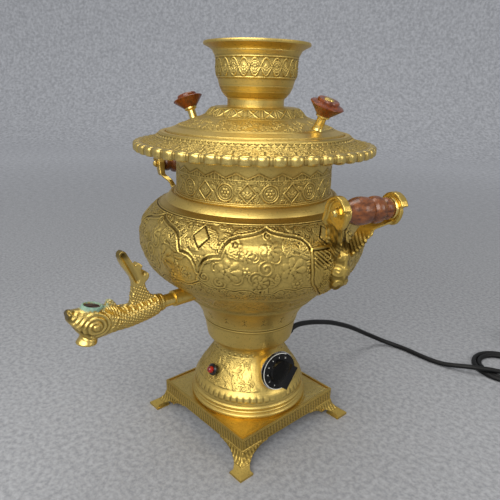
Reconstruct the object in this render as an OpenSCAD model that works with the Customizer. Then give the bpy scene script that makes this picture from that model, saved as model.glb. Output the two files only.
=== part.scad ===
// Electric samovar in cast and spun brass: square stand, bell pedestal with
// thermostat and pilot lamp, bulbous tank, fish-shaped tap, lift-off lid and
// teapot crown. Origin on the vertical axis at table level, +Z up, tap on -Y.

/* [Stand] */
// Side of the square base plate
stand_side = 159; // [150:1:175]
// Height of the plate's top above the table
stand_height = 38.5; // [36:0.5:48]
// Thickness of the cast top plate
plate_t = 4; // [3:0.5:6]
// Depth of the fluted skirt below the plate's top
skirt_h = 17.5; // [15:0.5:20]
// Thickness of the skirt
skirt_t = 3.2; // [2.5:0.1:4.5]
// Width of the raised rope border
border_w = 2.4; // [1.5:0.1:3]
// Height of the raised rope border
border_h = 1.5; // [0.8:0.1:3]
// Side of a leg where it leaves the skirt
leg_w = 30; // [26:1:33]
// Side of a leg at its ankle
ankle_w = 13; // [11:0.5:15]
// Side of a square foot pad
pad_w = 19.6; // [17:0.2:22]
// How far a pad stands outside the plate along each side
pad_reach = 17; // [13:0.5:20]
// Radius of the wiring hole in the plate
wiring_r = 40; // [30:1:46]

/* [Base cover] */
// Thickness of the sheet under the stand
cover_t = 1.2; // [0.8:0.1:2]
// Width of the cover's arms between the legs
cover_arm = 90; // [70:1:94]
// Radius of the cover's screws
cover_screw_r = 1.9; // [1.5:0.1:2.4]

/* [Pedestal bell] */
// Radius of the lowest bead
bell_foot_r = 75.6; // [70:0.2:76]
// Radius of the waist
waist_r = 44.5; // [41:0.5:48]
// Height of the bell from the plate to the tank
bell_h = 79; // [74:1:90]
// Wall of the bell
bell_t = 2.8; // [2:0.1:4]
// Radius of the bolts that hold the bell
bell_bolt_r = 2.4; // [2:0.1:3]
// Distance of those bolts from the axis
bell_bolt_circle = 65; // [62:0.5:66]

/* [Tank] */
// Radius of the cup under the bulb
cup_r = 54; // [50:0.5:58]
// Largest radius of the bulb
bulb_r = 134; // [128:1:142]
// Height of the bulb's widest line
bulb_z = 251.5; // [246:0.5:258]
// Height of the shoulder ring between bulb and neck
shoulder_z = 302.5; // [299:0.5:306]
// Radius of the straight neck
neck_r = 89.5; // [86:0.5:92]
// Wall of the tank
tank_t = 2; // [1.5:0.1:3]
// Height of the neck's upper edge
neck_top = 371; // [367:0.5:375]

/* [Brim] */
// Radius of the brim at the middle of its beads
brim_r = 134.5; // [130:0.5:140]
// Number of scallops around the brim
scallops = 52; // [40:1:60]
// How far a scallop stands out
scallop_depth = 3.6; // [2:0.2:5]
// Height of the beaded edge
bead_h = 9; // [7:0.5:11]
// How far the beaded edge hangs below the neck's upper edge
brim_drop = 11.4; // [9:0.2:14]
// Sheet thickness of the brim
brim_t = 2.4; // [2:0.1:3]

/* [Lid] */
// Radius of the lid
lid_r = 101; // [99:0.5:102]
// Height of the lid from its seat to the crown's seat
lid_h = 30; // [26:1:34]
// Thickness of the lid
lid_t = 2.4; // [2:0.1:3]
// Radius of the steam hole, which also centres the crown
steam_r = 28; // [24:0.5:30]
// Distance of the lid's knobs from the lid's edge
lid_knob_in = 17; // [14:0.5:22]
// Direction of the right-hand knob, from +X
lid_knob_turn = 8; // [0:1:20]
// Direction of the left-hand knob, from +X
lid_knob_turn_left = 199; // [180:1:205]
// Length of a knob's brass post
post_l = 16.5; // [14:0.5:22]
// Radius of a knob's brass post
post_r = 4.8; // [3.6:0.1:5.6]
// Widest radius of the wooden knob
lid_knob_r = 18; // [15:0.5:20]
// Height of the wooden knob
lid_knob_h = 16.5; // [14:0.5:20]

/* [Crown] */
// Radius of the crown's lip
crown_r = 58.8; // [54:0.2:64]
// Radius of the crown's engraved waist band
crown_band_r = 44.5; // [42:0.5:48]
// Radius of the crown's foot
crown_foot_r = 32; // [31:0.5:35]
// Height of the crown above the lid
crown_h = 66.6; // [60:0.2:76]
// Wall of the crown
crown_t = 2.4; // [1.8:0.1:3]
// Depth of the spigot that drops into the lid
spigot_h = 8; // [6:0.5:12]

/* [Handles] */
// Height of the grips' axis
grip_z = 318; // [312:0.5:322]
// How far a grip's axis stands out from the bulb
grip_reach = 41; // [36:0.5:46]
// How far each handle is turned about its fixing
handle_turn = 17.5; // [0:0.5:20]
// Length of a wooden grip
grip_l = 50; // [44:0.5:60]
// Largest radius of a wooden grip
grip_r = 13.4; // [12:0.2:15]
// Radius of the rod through a grip
grip_rod_r = 3; // [2.4:0.1:3.6]
// Thickness of a bracket's arm
arm_t = 4; // [3:0.5:6]
// Radius of a bracket arm's head
arm_head_r = 14; // [12.5:0.5:15.5]
// Height of the bolt that holds a bracket
bracket_bolt_z = 251.5; // [247:0.5:256]
// Radius of the bolt that holds a bracket
bracket_bolt_r = 3; // [2.5:0.1:3.5]

/* [Tap] */
// Height of the tap's pipe
tap_z = 199; // [196:0.5:203]
// Outer radius of the tap's pipe
tap_pipe_r = 7; // [6.4:0.1:8]
// Radius of the water way
water_r = 4.2; // [3:0.1:4.6]
// How far the tank's tap boss ends short of the bulb's widest line
tap_inset = 17; // [14:0.5:18]
// Bare length of the tap's pipe between the boss and the fish
tap_pipe_l = 14; // [10:0.5:17]
// Length of the fish from its rear face to the plug
tap_reach = 82.5; // [78:0.5:86]
// Lean of the plug, its top towards the tank
tap_plug_lean = 10; // [0:1:14]
// Radius of the plug at its top
plug_top_r = 8; // [7:0.1:8.6]
// Radius of the plug at its lower end
plug_low_r = 6.4; // [5.6:0.1:6.8]
// Height of the plug's top above the pipe's axis
plug_up = 19; // [17:0.5:21]
// Depth of the plug's lower end below the pipe's axis
plug_down = 10; // [8:0.5:12]
// Radius of the spout's lip
spout_r = 10.5; // [9.5:0.1:12]
// Depth of the spout's lip below the pipe's axis
spout_drop = 19; // [17:0.5:21]
// Thickness of the tail
tail_t = 8; // [6:0.5:10]

/* [Thermostat and lamp] */
// Height of the thermostat's axis
knob_z = 87.5; // [85:0.5:90]
// Turn of the thermostat's axis from +X towards the tap
knob_turn = 10; // [4:1:14]
// Upward tilt of the thermostat's axis
knob_tilt = 8; // [4:1:12]
// Distance of the bezel from the samovar's axis
knob_seat = 66; // [65:0.5:70]
// Radius of the knob's skirt
knob_r = 23; // [20:0.5:24]
// Height of the knob above its skirt
knob_grip_h = 21; // [16:0.5:26]
// Radius of the thermostat's shaft
shaft_r = 3; // [2.5:0.1:3.5]
// Radius of the thermostat's threaded bush
bush_r = 5; // [4.5:0.1:6]
// Height of the pilot lamp
lamp_z = 86.5; // [82:0.5:91]
// Upward tilt of the pilot lamp
lamp_tilt = 19; // [8:1:28]
// Radius of the lamp's bezel
lamp_r = 7.4; // [6.5:0.1:8]
// Radius of the lamp's body
lamp_body_r = 5; // [4:0.1:5.6]

/* [Heating element] */
// Radius of the element's ring
element_ring_r = 40; // [32:1:44]
// Radius of the element's tube
element_tube_r = 4; // [3:0.1:5]
// Height of the ring above the tank's floor
element_rise = 66; // [60:1:72]
// Radius of the element's threaded shank
shank_r = 16.5; // [15:0.5:18]
// Radius of the element's flange
flange_r = 25; // [23:0.5:28]

/* [Mains lead] */
// Diameter of the lead
cord_d = 7.5; // [6:0.1:8]
// Number of turns in the coil
coil_turns = 2.25; // [1.25:1:4.25]
// Radius of the coil's innermost turn
coil_in_r = 30; // [26:1:40]
// Diameter of the plug's pins
pin_d = 4.8; // [4:0.1:5]
// Length of the plug's pins
pin_l = 19; // [15:0.5:20]
// Distance between the plug's pins
pin_gap = 19; // [17:0.5:20]

/* [Fits] */
// Radial clearance of the tap's plug and the thermostat's shaft
run_fit = 0.05; // [0.02:0.01:0.1]
// Clearance where pieces lift out of each other
lift_fit = 0.4; // [0.3:0.05:0.6]
// Clearance of bolts and rods in their holes
bolt_fit = 0.2; // [0.1:0.05:0.4]
// Air between a still piece and one that turns over it
air_gap = 0.6; // [0.4:0.1:1.5]

/* [Hidden] */

$fn = 72;
BRASS = "#B8963E";
BRASS_DARK = "#8A6E2C";
BRASS_BRIGHT = "#D9BE6A";
WOOD = "#7A3B22";
WOOD_RED = "#8C3A1E";
BLACK = "#151515";
STEEL = "#9FA3A6";
COPPER = "#A8623A";
WHITE = "#E8E6DF";
RED = "#C01818";
FIBRE = "#5A2A20";

half = stand_side / 2;
skirt_z = stand_height - skirt_h;
tank_z = stand_height + bell_h;
tank_floor = 3;
element_z = tank_z + tank_floor;
crown_z = neck_top + 2.4 + lid_h;
handle_r = bulb_r - 2;
cup_top_z = tank_z + (bulb_z - tank_z) * 0.46;
belly_top_z = bracket_bolt_z - 4 * bracket_bolt_r;
lid_knob_circle = lid_r - lid_knob_in;
tap_boss_y = bulb_r - tap_inset;
tap_body_y = tap_boss_y + tap_pipe_l;
tap_plug_y = tap_body_y + tap_reach;
brim_collar_h = (neck_top - shoulder_z) * 0.2;
head_z = grip_z;

// ---- curves ----
function mix(a, b, t) = a + (b - a) * t;
function spline(a, b, c, d, t) = 0.5 * (2 * b + (c - a) * t + (2 * a - 5 * b + 4 * c - d) * t * t
    + (3 * b - a - 3 * c + d) * t * t * t);
function smooth(p, n) = [for (i = [0:len(p) - 2]) for (k = [0:n - 1])
    spline(p[max(i - 1, 0)], p[i], p[i + 1], p[min(i + 2, len(p) - 1)], k / n), p[len(p) - 1]];
function heading(p, i) = let (d = p[min(i + 1, len(p) - 1)] - p[max(i - 1, 0)]) d / norm(d);
function inset(p, w) = [for (i = [0:len(p) - 1]) let (d = heading(p, i)) p[i] + w * [-d.y, d.x]];
function back(p) = [for (i = [len(p) - 1:-1:0]) p[i]];
function bead(r, z0, z1, out) = [for (k = [0:5]) [r + out * sin(180 * k / 6), mix(z0, z1, k / 6)]];

module turned(p) { rotate_extrude() polygon(p); }
module shell(p, w) { turned(concat(p, back(inset(p, w)))); }
module disc(r, z0, z1) { translate([0, 0, z0]) cylinder(r = r, h = z1 - z0); }
module rod(a, b, r) {
    d = b - a;
    translate(a) rotate([0, acos(d.z / norm(d)), atan2(d.y, d.x)]) cylinder(r = r, h = norm(d));
}
module ring(r_out, r_in, z0, z1) {
    turned([[r_in, z0], [r_out, z0], [r_out, z1], [r_in, z1]]);
}

// ---- bodies swept along a path ----
function side_of(t, ref) = let (s = cross(t, ref)) s / norm(s);
function tube_ring(p, i, r, n, ref) = let (t = heading(p, i), s = side_of(t, ref), u = cross(s, t))
    [for (k = [0:n - 1]) p[i] + r * (cos(360 * k / n) * s - sin(360 * k / n) * u)];
function skin_faces(m, n) = concat([[for (k = [0:n - 1]) k]],
    [for (i = [0:m - 2]) for (k = [0:n - 1])
        [i * n + k, (i + 1) * n + k, (i + 1) * n + (k + 1) % n]],
    [for (i = [0:m - 2]) for (k = [0:n - 1])
        [i * n + k, (i + 1) * n + (k + 1) % n, i * n + (k + 1) % n]],
    [[for (k = [n - 1:-1:0]) (m - 1) * n + k]]);
module skin(rings) {
    n = len(rings[0]);
    polyhedron([for (g = rings) for (q = g) q], skin_faces(len(rings), n));
}
module tube(p, r, n = 8, ref = [0, 0, 1]) {
    skin([for (i = [0:len(p) - 1]) tube_ring(p, i, r, n, ref)]);
}

// ---- outlines of the turned shells, from the bottom up ----
function bell_at(s, t) = [mix(waist_r, bell_foot_r, s), stand_height + bell_h * t];
BELL = concat(bead(bell_foot_r - 2, stand_height, stand_height + 7, 2),
    bead(bell_foot_r - 2.6, stand_height + 7, stand_height + 11.5, 1.5),
    bead(bell_foot_r - 3.4, stand_height + 11.5, stand_height + 15.5, 1.3),
    smooth([bell_at(0.88, 0.2), bell_at(0.81, 0.33), bell_at(0.72, 0.39), bell_at(0.6, 0.47),
        bell_at(0.49, 0.53), bell_at(0.27, 0.66), bell_at(0.11, 0.76), bell_at(0.01, 0.86),
        bell_at(0, 0.92), bell_at(0.06, 1)], 3));

function low_at(s, t) = [mix(cup_r, bulb_r, s), mix(tank_z + 6, bulb_z, t)];
function high_at(s, t) = [mix(neck_r + 2.5, bulb_r, s), mix(bulb_z, shoulder_z, t)];
TANK = concat([[cup_r - 4.5, tank_z]],
    smooth([low_at(0, 0), low_at(0.02, 0.07), low_at(0.05, 0.17), low_at(0.096, 0.266),
        low_at(0.196, 0.375), low_at(0.3625, 0.492), low_at(0.4725, 0.5625),
        low_at(0.641, 0.656), low_at(0.809, 0.746), low_at(0.909, 0.828),
        low_at(0.964, 0.914), high_at(1, 0), high_at(0.976, 0.294), high_at(0.917, 0.47),
        high_at(0.833, 0.57), high_at(0.63, 0.745), high_at(0.464, 0.843),
        high_at(0.286, 0.92), high_at(0.07, 0.99)], 2),
    bead(neck_r, shoulder_z + 0.5, shoulder_z + 6, 2.4),
    [[neck_r, shoulder_z + 7], [neck_r, neck_top]]);

// ---- stand ----
leg_steps = [[skirt_z + 4, leg_w, -1], [skirt_z + 2, leg_w + 1, 0.8], [skirt_z - 1, leg_w - 1, 1.2],
    [skirt_z * 0.78, 21, 2.6], [skirt_z * 0.6, 15.5, pad_reach * 0.3],
    [skirt_z * 0.42, ankle_w, pad_reach * 0.53],
    [skirt_z * 0.27, ankle_w + 0.6, pad_reach * 0.77], [3, pad_w - 0.8, pad_reach], [2.4, pad_w, pad_reach],
    [0, pad_w, pad_reach]];
function leg_ring(g) = let (o = half + g[2], i = o - g[1])
    [[o, o, g[0]], [o, i, g[0]], [i, i, g[0]], [i, o, g[0]]];

module at_cover_screws() {
    for (a = [0:90:270]) rotate([0, 0, a]) for (s = [-1, 1])
        if (a % 180 == 0) translate([s * cover_arm / 3, half - skirt_t - 10, 0]) children();
}
module at_bell_bolts() {
    for (a = [45:90:315]) rotate([0, 0, a]) translate([bell_bolt_circle, 0, 0]) children();
}

module square_stand() {
    color(BRASS) difference() {
        union() {
            difference() {
                translate([-half, -half, skirt_z]) cube([stand_side, stand_side, skirt_h]);
                translate([-half + skirt_t, -half + skirt_t, skirt_z - 1])
                    cube([stand_side - 2 * skirt_t, stand_side - 2 * skirt_t, skirt_h - plate_t + 1]);
            }
            difference() {
                translate([-half, -half, stand_height - 0.5])
                    cube([stand_side, stand_side, border_h + 0.5]);
                translate([-half + border_w, -half + border_w, stand_height - 1])
                    cube([stand_side - 2 * border_w, stand_side - 2 * border_w, border_h + 3]);
            }
            for (a = [0:90:270]) rotate([0, 0, a]) skin([for (g = leg_steps) leg_ring(g)]);
            at_cover_screws() disc(5, skirt_z + 1.5 + cover_t, stand_height - plate_t + 1);
        }
        disc(wiring_r, skirt_z, stand_height + 5);
        at_bell_bolts() disc(bell_bolt_r + bolt_fit, skirt_z, stand_height + 5);
        at_cover_screws() disc(cover_screw_r, skirt_z, skirt_z + 9);
    }
}

module base_cover() {
    inner = stand_side - 2 * skirt_t - 0.6;
    color(STEEL) difference() {
        translate([0, 0, skirt_z + 1.5]) linear_extrude(cover_t) union() {
            square([inner, cover_arm], center = true);
            square([cover_arm, inner], center = true);
        }
        at_cover_screws() disc(cover_screw_r + bolt_fit, skirt_z, skirt_z + 5);
        for (a = [0:30:330]) rotate([0, 0, a]) translate([24, 0, 0]) disc(2.5, skirt_z, skirt_z + 5);
    }
}

module base_cover_screws() {
    color(STEEL) at_cover_screws() {
        disc(cover_screw_r * 2, skirt_z - 0.6, skirt_z + 1.5);
        disc(cover_screw_r, skirt_z + 1, skirt_z + 8);
    }
}

module bell_bolts() {
    color(BRASS_DARK) at_bell_bolts() {
        translate([0, 0, stand_height - plate_t - 3.4]) cylinder(r = bell_bolt_r * 1.9, h = 3.4, $fn = 6);
        disc(bell_bolt_r, stand_height - plate_t - 1, stand_height + 4.6);
    }
}

// ---- thermostat, lamp and gland frames: local +Z points out of the bell ----
module on_knob_axis() {
    rotate([0, 0, -knob_turn]) translate([0, 0, knob_z]) rotate([0, 90 - knob_tilt, 0]) children();
}
boss_d = 44;
lamp_y = 60;
module on_lamp_axis() {
    translate([0, -lamp_y, lamp_z]) rotate([90 - lamp_tilt, 0, 0]) children();
}
gland_y = 54;
gland_z = 87;
gland_tilt = 20;
gland_l = 27.5;
bell_slope = 34;
module on_gland_seat() {
    translate([0, gland_y, gland_z]) rotate([bell_slope - 90, 0, 0]) children();
}
module on_gland_axis() {
    translate([0, gland_y, gland_z]) rotate([gland_tilt - 90, 0, 0]) children();
}

module pedestal_bell() {
    color(BRASS) difference() {
        union() {
            shell(BELL, bell_t);
            ring(bell_foot_r - 3, bell_bolt_circle - 5, stand_height, stand_height + 5);
            ring(waist_r, shank_r + bolt_fit + 1, tank_z - 3.5, tank_z);
            on_knob_axis() disc(13, boss_d - 4, knob_seat);
        }
        disc(shank_r + bolt_fit, tank_z - 10, tank_z + 5);
        disc(bell_foot_r, tank_z, tank_z + 5);
        at_bell_bolts() disc(bell_bolt_r, stand_height - 1, stand_height + 4.6);
        on_knob_axis() disc(bush_r + bolt_fit, 30, knob_seat + 1);
        on_lamp_axis() disc(lamp_body_r + bolt_fit, -25, 20);
        on_gland_axis() disc(cord_d / 2 + 1.7, -20, 10);
    }
}

// ---- tank ----
tap_boss_in = tap_boss_y - 37;
module tank_section(z0, z1) {
    intersection() {
        shell(TANK, tank_t);
        disc(bulb_r * 2, z0, z1);
    }
}
module tank_cup() {
    color(BRASS) difference() {
        union() {
            tank_section(tank_z - 1, cup_top_z);
            ring(cup_r - 4.5, shank_r + 2, tank_z, element_z);
        }
        disc(shank_r + bolt_fit, tank_z - 1, element_z + 1);
    }
}
module tank_belly() {
    color(BRASS) difference() {
        union() {
            tank_section(cup_top_z, belly_top_z);
            along_tap() disc(tap_pipe_r + 2, tap_boss_in, tap_boss_y);
        }
        along_tap() disc(tap_pipe_r - 1, tap_boss_in - 1, tap_boss_y + 1);
    }
}
module tank_shoulder() {
    color(BRASS) difference() {
        tank_section(belly_top_z, shoulder_z);
        for (a = [0, 180]) rotate([0, 0, a]) translate([0, 0, bracket_bolt_z]) rotate([0, 90, 0])
            disc(bracket_bolt_r + bolt_fit, bulb_r - 10, bulb_r + 5);
    }
}
module tank_neck() {
    color(BRASS) tank_section(shoulder_z, neck_top + 1);
}

// ---- brim ----
lid_seat_z = neck_top + brim_t;
function scallop_r(a) = brim_r + scallop_depth * pow(abs(cos(a * scallops / 2)), 0.6);
BRIM_TOP = concat([[neck_r - tank_t, lid_seat_z], [lid_r + 0.5, lid_seat_z]],
    [for (k = [0:6]) [lid_r + 4.5 - 3.4 * cos(30 * k), lid_seat_z + 0.4 + 1.8 * sin(30 * k)]],
    smooth([[lid_r + 9, lid_seat_z - 1.6], [lid_r + 16, lid_seat_z - 5.4],
        [lid_r + 24, lid_seat_z - 8.4], [brim_r - 4, lid_seat_z - brim_drop + 1.2]], 3));
BRIM_UNDER = back([[neck_r + 2.6, neck_top], [lid_r + 2, neck_top],
    [lid_r + 6, neck_top - 0.6], [lid_r + 9, neck_top - 1.8], [lid_r + 16, neck_top - 5.4],
    [lid_r + 24, neck_top - 8.4], [brim_r - 4, neck_top - brim_drop + 1.2]]);
module brim_ring() {
    edge_z = neck_top - brim_drop;
    color(BRASS_BRIGHT) union() {
        turned(concat(BRIM_TOP, BRIM_UNDER, [[neck_r + 2.6, neck_top - brim_collar_h],
            [neck_r + 0.1, neck_top - brim_collar_h],
            [neck_r + 0.1, neck_top], [neck_r - tank_t, neck_top]]));
        translate([0, 0, edge_z - bead_h / 2 + 0.6]) linear_extrude(bead_h) difference() {
            polygon([for (a = [0:360 / scallops / 6:359.99]) scallop_r(a) * [cos(a), sin(a)]]);
            circle(brim_r - 4.5);
        }
    }
}

// ---- lid ----
band_out = lid_r - 4;
band_in = 60;
band_drop = 14.4;
band_z = lid_seat_z + lid_h - 11;
band_slope = atan2(band_drop, band_out - band_in);
collar_r = neck_r - tank_t - lift_fit;
LID = back(concat([[steam_r, crown_z], [44, crown_z], [46.5, crown_z - 0.8]],
    smooth([[48, crown_z - 1.4], [51.5, crown_z - 3.4], [54.5, crown_z - 6.6], [57, crown_z - 9.6],
        [band_in, band_z]], 2),
    [[band_out, band_z - band_drop], [lid_r - 1, lid_seat_z + 3.6], [lid_r, lid_seat_z + 2.6],
    [lid_r, lid_seat_z]]));
knob_foot_z = band_z - (lid_knob_circle - band_in) * tan(band_slope);
module at_lid_knobs() {
    for (a = [lid_knob_turn, lid_knob_turn_left])
        rotate([0, 0, a]) translate([lid_knob_circle, 0, knob_foot_z])
        rotate([0, band_slope, 0]) children();
}
module lid() {
    color(BRASS) difference() {
        shell(LID, lid_t);
        at_lid_knobs() disc(2 + bolt_fit, -12, 5);
    }
}
module lid_collar() {
    color(BRASS_DARK) union() {
        ring(collar_r, collar_r - 2.4, lid_seat_z - 12, lid_seat_z + 2);
        ring(lid_r - 5, collar_r - 2.4, lid_seat_z, lid_seat_z + 2);
    }
}
module lid_knob_posts() {
    color(BRASS_BRIGHT) at_lid_knobs() {
        turned([[0, 0.1], [post_r + 1.6, 0.1], [post_r + 1.5, 0.9], [post_r + 0.3, 3], [post_r, 6],
            [post_r, post_l - 3.6], [post_r + 0.6, post_l - 2.6], [post_r + 2.6, post_l - 1.6],
            [post_r + 2.6, post_l], [0, post_l]]);
        disc(2, -lid_t - 4.5, 1);
        disc(2, post_l - 1, post_l + lid_knob_h - 3);
    }
}
module lid_post_nuts() {
    color(BRASS_DARK) at_lid_knobs() translate([0, 0, -lid_t - 3.9]) difference() {
        cylinder(r = 4, h = 3.2, $fn = 6);
        disc(2.05, -1, 4);
    }
}
module lid_knobs() {
    h = lid_knob_h;
    color(WOOD_RED) at_lid_knobs() translate([0, 0, post_l]) difference() {
        turned([[0, 0], [post_r + 2.6, 0], [post_r + 3.4, 0.8], [lid_knob_r - 0.5, h * 0.62],
            [lid_knob_r, h * 0.66], [lid_knob_r - 0.7, h * 0.71], [lid_knob_r - 5.6, h * 0.8],
            [lid_knob_r - 6.2, h * 0.82], [lid_knob_r - 6.2, h * 0.92], [lid_knob_r - 7, h], [0, h]]);
        disc(2.05, -1, h - 3);
        disc(5.7, h - 3, h + 1);
    }
}
module lid_knob_caps() {
    color(BRASS_BRIGHT) at_lid_knobs() translate([0, 0, post_l + lid_knob_h - 3])
        turned([[0, 0], [5.6, 0], [5.6, 3], [5, 3.8], [3, 4.5], [0, 4.7]]);
}

// ---- crown ----
function crown_at(s, t) = [mix(crown_band_r, crown_r, s), crown_z + crown_h * t];
CROWN = concat([[crown_foot_r, crown_z], [crown_foot_r, crown_z + 1.6], [crown_foot_r - 1.2, crown_z + 2.4],
    [crown_foot_r - 1.2, crown_z + 6], [crown_foot_r, crown_z + 7]],
    smooth([[crown_foot_r + 0.6, crown_z + 9], [mix(crown_foot_r, crown_band_r, 0.4), crown_z + 14],
        [mix(crown_foot_r, crown_band_r, 0.66), crown_z + 20], [mix(crown_foot_r, crown_band_r, 0.8),
            crown_z + 26],
        crown_at(-0.03, 0.5), crown_at(0, 0.56), crown_at(0, 0.71), crown_at(0.07, 0.77),
        crown_at(0.22, 0.835), crown_at(0.4, 0.885), crown_at(0.66, 0.92), crown_at(0.9, 0.945)], 2),
    [crown_at(1, 0.955), crown_at(1.02, 0.978), crown_at(0.985, 1), crown_at(0.9, 1)]);
module crown() {
    spigot = steam_r - lift_fit;
    color(BRASS) difference() {
        union() {
            turned(concat(CROWN, [crown_at(0.84, 0.99)],
                back(inset([for (i = [5:len(CROWN) - 6]) CROWN[i]], crown_t))));
            ring(crown_foot_r, spigot - crown_t, crown_z, crown_z + 8);
            disc(crown_foot_r - 0.5, crown_z + 8, crown_z + 11);
            ring(spigot, spigot - crown_t, crown_z - spigot_h, crown_z + 4);
        }
        disc(6, crown_z, crown_z + 12);
        for (a = [0:45:315]) rotate([0, 0, a]) translate([16, 0, 0]) disc(3, crown_z, crown_z + 12);
    }
}

// ---- handles: local +X out of the bulb, +Y along the grip ----
module at_handle(side) {
    rotate([0, 0, side * 180]) translate([handle_r, 0, 0]) rotate([0, 0, -handle_turn]) children();
}
arm_y = grip_l / 2 + 3;
module on_grip() { translate([grip_reach, 0, grip_z]) children(); }
module along_y(r, y0, y1) { rotate([-90, 0, 0]) disc(r, y0, y1); }

// slices of one arm from the head down: height under the grip, inner and outer edge, distance from the
// middle
ARM = smooth([[-4, -18, 12, 26], [-11.5, -22, 6, 26], [-18, -27, -4, 19.5], [-24, -31, -9.5, 15.5],
    [-30, -33.5, -12, 13.5], [-36, -36, -15, 11.5], [-43, -39, -19, 9.5], [-50, -43, -24, 8],
    [-57, -49, -30, 6.5]], 2);
function arm_spread(y) = mix(10.5, arm_y + 2, (y - 6.5) / 19.5);
function arm_slice(g) = let (x0 = grip_reach + g[1], x1 = grip_reach + g[2], y = min(arm_spread(g[3]), arm_spread(ARM[0][3])),
    z = head_z + g[0], w = arm_t * 0.5) [[x0, y - w, z], [x1 - 3, y - w, z], [x1, y, z],
    [x1 - 3, y + w - 0.05, z], [x0, y + w - 0.05, z]];
// the rolled flange that follows the arm's inner edge and its head
function rolled(a) = let (r = arm_head_r + 1.5) [-2 + r * cos(a), -2 + r * sin(a), arm_y];
FLANGE = concat([for (a = [20:20:180]) rolled(a)],
    [for (k = [2:len(ARM) - 3]) [ARM[k][1] + 0.5, ARM[k][0], arm_spread(ARM[k][3]) - 2]]);
function flange_ring(i) = let (p = FLANGE[i], d = heading([for (q = FLANGE) [q.x, q.y]], i), t = 1.6,
    out = 8 - 3 * pow(i / (len(FLANGE) - 1), 2), n = [-d.y * t, d.x * t], x = grip_reach + p.x,
        z = head_z + p.y)
    [[x - n.x, p.z, z - n.y], [x + n.x, p.z, z + n.y], [x + n.x, p.z + out, z + n.y], [x - n.x,
        p.z + out, z - n.y]];
// slices of the mask over the bolt: height over the bolt, how far it stands out, half width
MASK = smooth([[-30, -2, 3], [-26, 5, 7], [-19, 11, 11], [-11, 14, 13.5], [-2, 14, 13], [6, 15, 11.5],
    [13, 14, 10.5], [20, 9.5, 10.5], [27, 4, 10.5], [29, 1, 10]], 2);
function mask_slice(g) = [for (k = [0:12]) let (a = -90 + 15 * k)
    [-14 + (14 + g[1]) * pow(abs(cos(a)), 0.7), g[2] * sin(a), bracket_bolt_z + g[0]]];
module bracket(side) {
    color(BRASS_DARK) difference() {
        at_handle(side) union() {
            skin([for (g = MASK) mask_slice(g)]);
            for (s = [0, 1]) mirror([0, s, 0]) {
                skin([for (g = ARM) back(arm_slice(g))]);
                skin([for (i = [0:len(FLANGE) - 1]) back(flange_ring(i))]);
                translate([grip_reach - 2, 0, head_z - 2]) along_y(arm_head_r, arm_y, arm_y + arm_t);
            }
        }
        turned(concat([[0, tank_z]], inset(TANK, -0.1), [[0, neck_top]]));
        at_handle(side) on_grip() along_y(grip_rod_r + bolt_fit, -grip_l, grip_l);
        rotate([0, 0, side * 180]) translate([0, 0, bracket_bolt_z]) rotate([0, 90, 0])
            disc(bracket_bolt_r, bulb_r - 5, bulb_r + 9);
    }
}
module handle_bracket_right() { bracket(0); }
module handle_bracket_left() { bracket(1); }

module bracket_bolts() {
    color(BRASS_DARK) for (a = [0, 180]) rotate([0, 0, a]) translate([0, 0, bracket_bolt_z]) rotate([0,
        90, 0])
        disc(bracket_bolt_r, bulb_r - tank_t - 6.5, bulb_r + 8);
}
module bracket_nuts() {
    color(BRASS_DARK) for (a = [0, 180]) rotate([0, 0, a]) translate([0, 0, bracket_bolt_z]) rotate([0,
        90, 0])
        translate([0, 0, bulb_r - tank_t - 5.8]) difference() {
            cylinder(r = bracket_bolt_r * 1.9, h = 4.7, $fn = 6);
            disc(bracket_bolt_r + 0.05, -1, 6);
        }
}

GRIP = smooth([[grip_r - 4.4, 0], [grip_r - 3.2, grip_l * 0.07], [grip_r - 0.6, grip_l * 0.2],
    [grip_r, grip_l * 0.33], [grip_r - 0.9, grip_l * 0.47], [grip_r - 2.6, grip_l * 0.53],
    [grip_r - 0.8, grip_l * 0.58], [grip_r - 0.4, grip_l * 0.68], [grip_r - 1.6, grip_l * 0.76],
    [grip_r - 4.2, grip_l * 0.8], [grip_r - 3, grip_l * 0.86], [grip_r - 3, grip_l * 0.93],
    [grip_r - 4.6, grip_l]], 2);
module grip(side) {
    color(WOOD) at_handle(side) on_grip() rotate([-90, 0, 0]) translate([0, 0, -grip_l / 2]) difference() {
        turned(concat([[0, 0]], GRIP, [[0, grip_l]]));
        disc(grip_rod_r + bolt_fit, -1, grip_l + 1);
    }
}
module handle_grip_right() { grip(0); }
module handle_grip_left() { grip(1); }

module handle_rods() {
    end = arm_y + arm_t + 5.6;
    color(BRASS_BRIGHT) for (s = [0, 1]) at_handle(s) on_grip() {
        along_y(grip_rod_r, -end, end);
    }
}
module handle_ferrules() {
    color(BRASS_BRIGHT) for (s = [0, 1]) at_handle(s) on_grip() for (m = [0, 1]) mirror([0, m, 0])
        difference() {
        rotate([-90, 0, 0]) translate([0, 0, grip_l / 2])
            turned([[0, 0], [grip_r - 3.6, 0], [grip_r - 2.8, 0.8], [grip_r - 2.8, 2.2], [grip_r - 3.6,
                3], [0, 3]]);
        along_y(grip_rod_r + bolt_fit, 0, grip_l);
    }
}
module handle_nuts() {
    y0 = arm_y + arm_t;
    color(BRASS_BRIGHT) for (s = [0, 1]) at_handle(s) on_grip() for (m = [0, 1]) mirror([0, m, 0])
        difference() {
        union() {
            along_y(grip_rod_r * 2, y0, y0 + 1.2);
            rotate([-90, 0, 0]) translate([0, 0, y0 + 1.2]) cylinder(r = grip_rod_r * 1.7, h = 3.6, $fn = 6);
            rotate([-90, 0, 0]) translate([0, 0, y0 + 4.8])
                turned([[0, 0], [grip_rod_r * 1.3, 0], [grip_rod_r * 1.2, 1.4], [grip_rod_r * 0.8,
                    2.5], [0, 2.9]]);
        }
        along_y(grip_rod_r + 0.05, 0, y0 + 5.7);
    }
}

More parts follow.
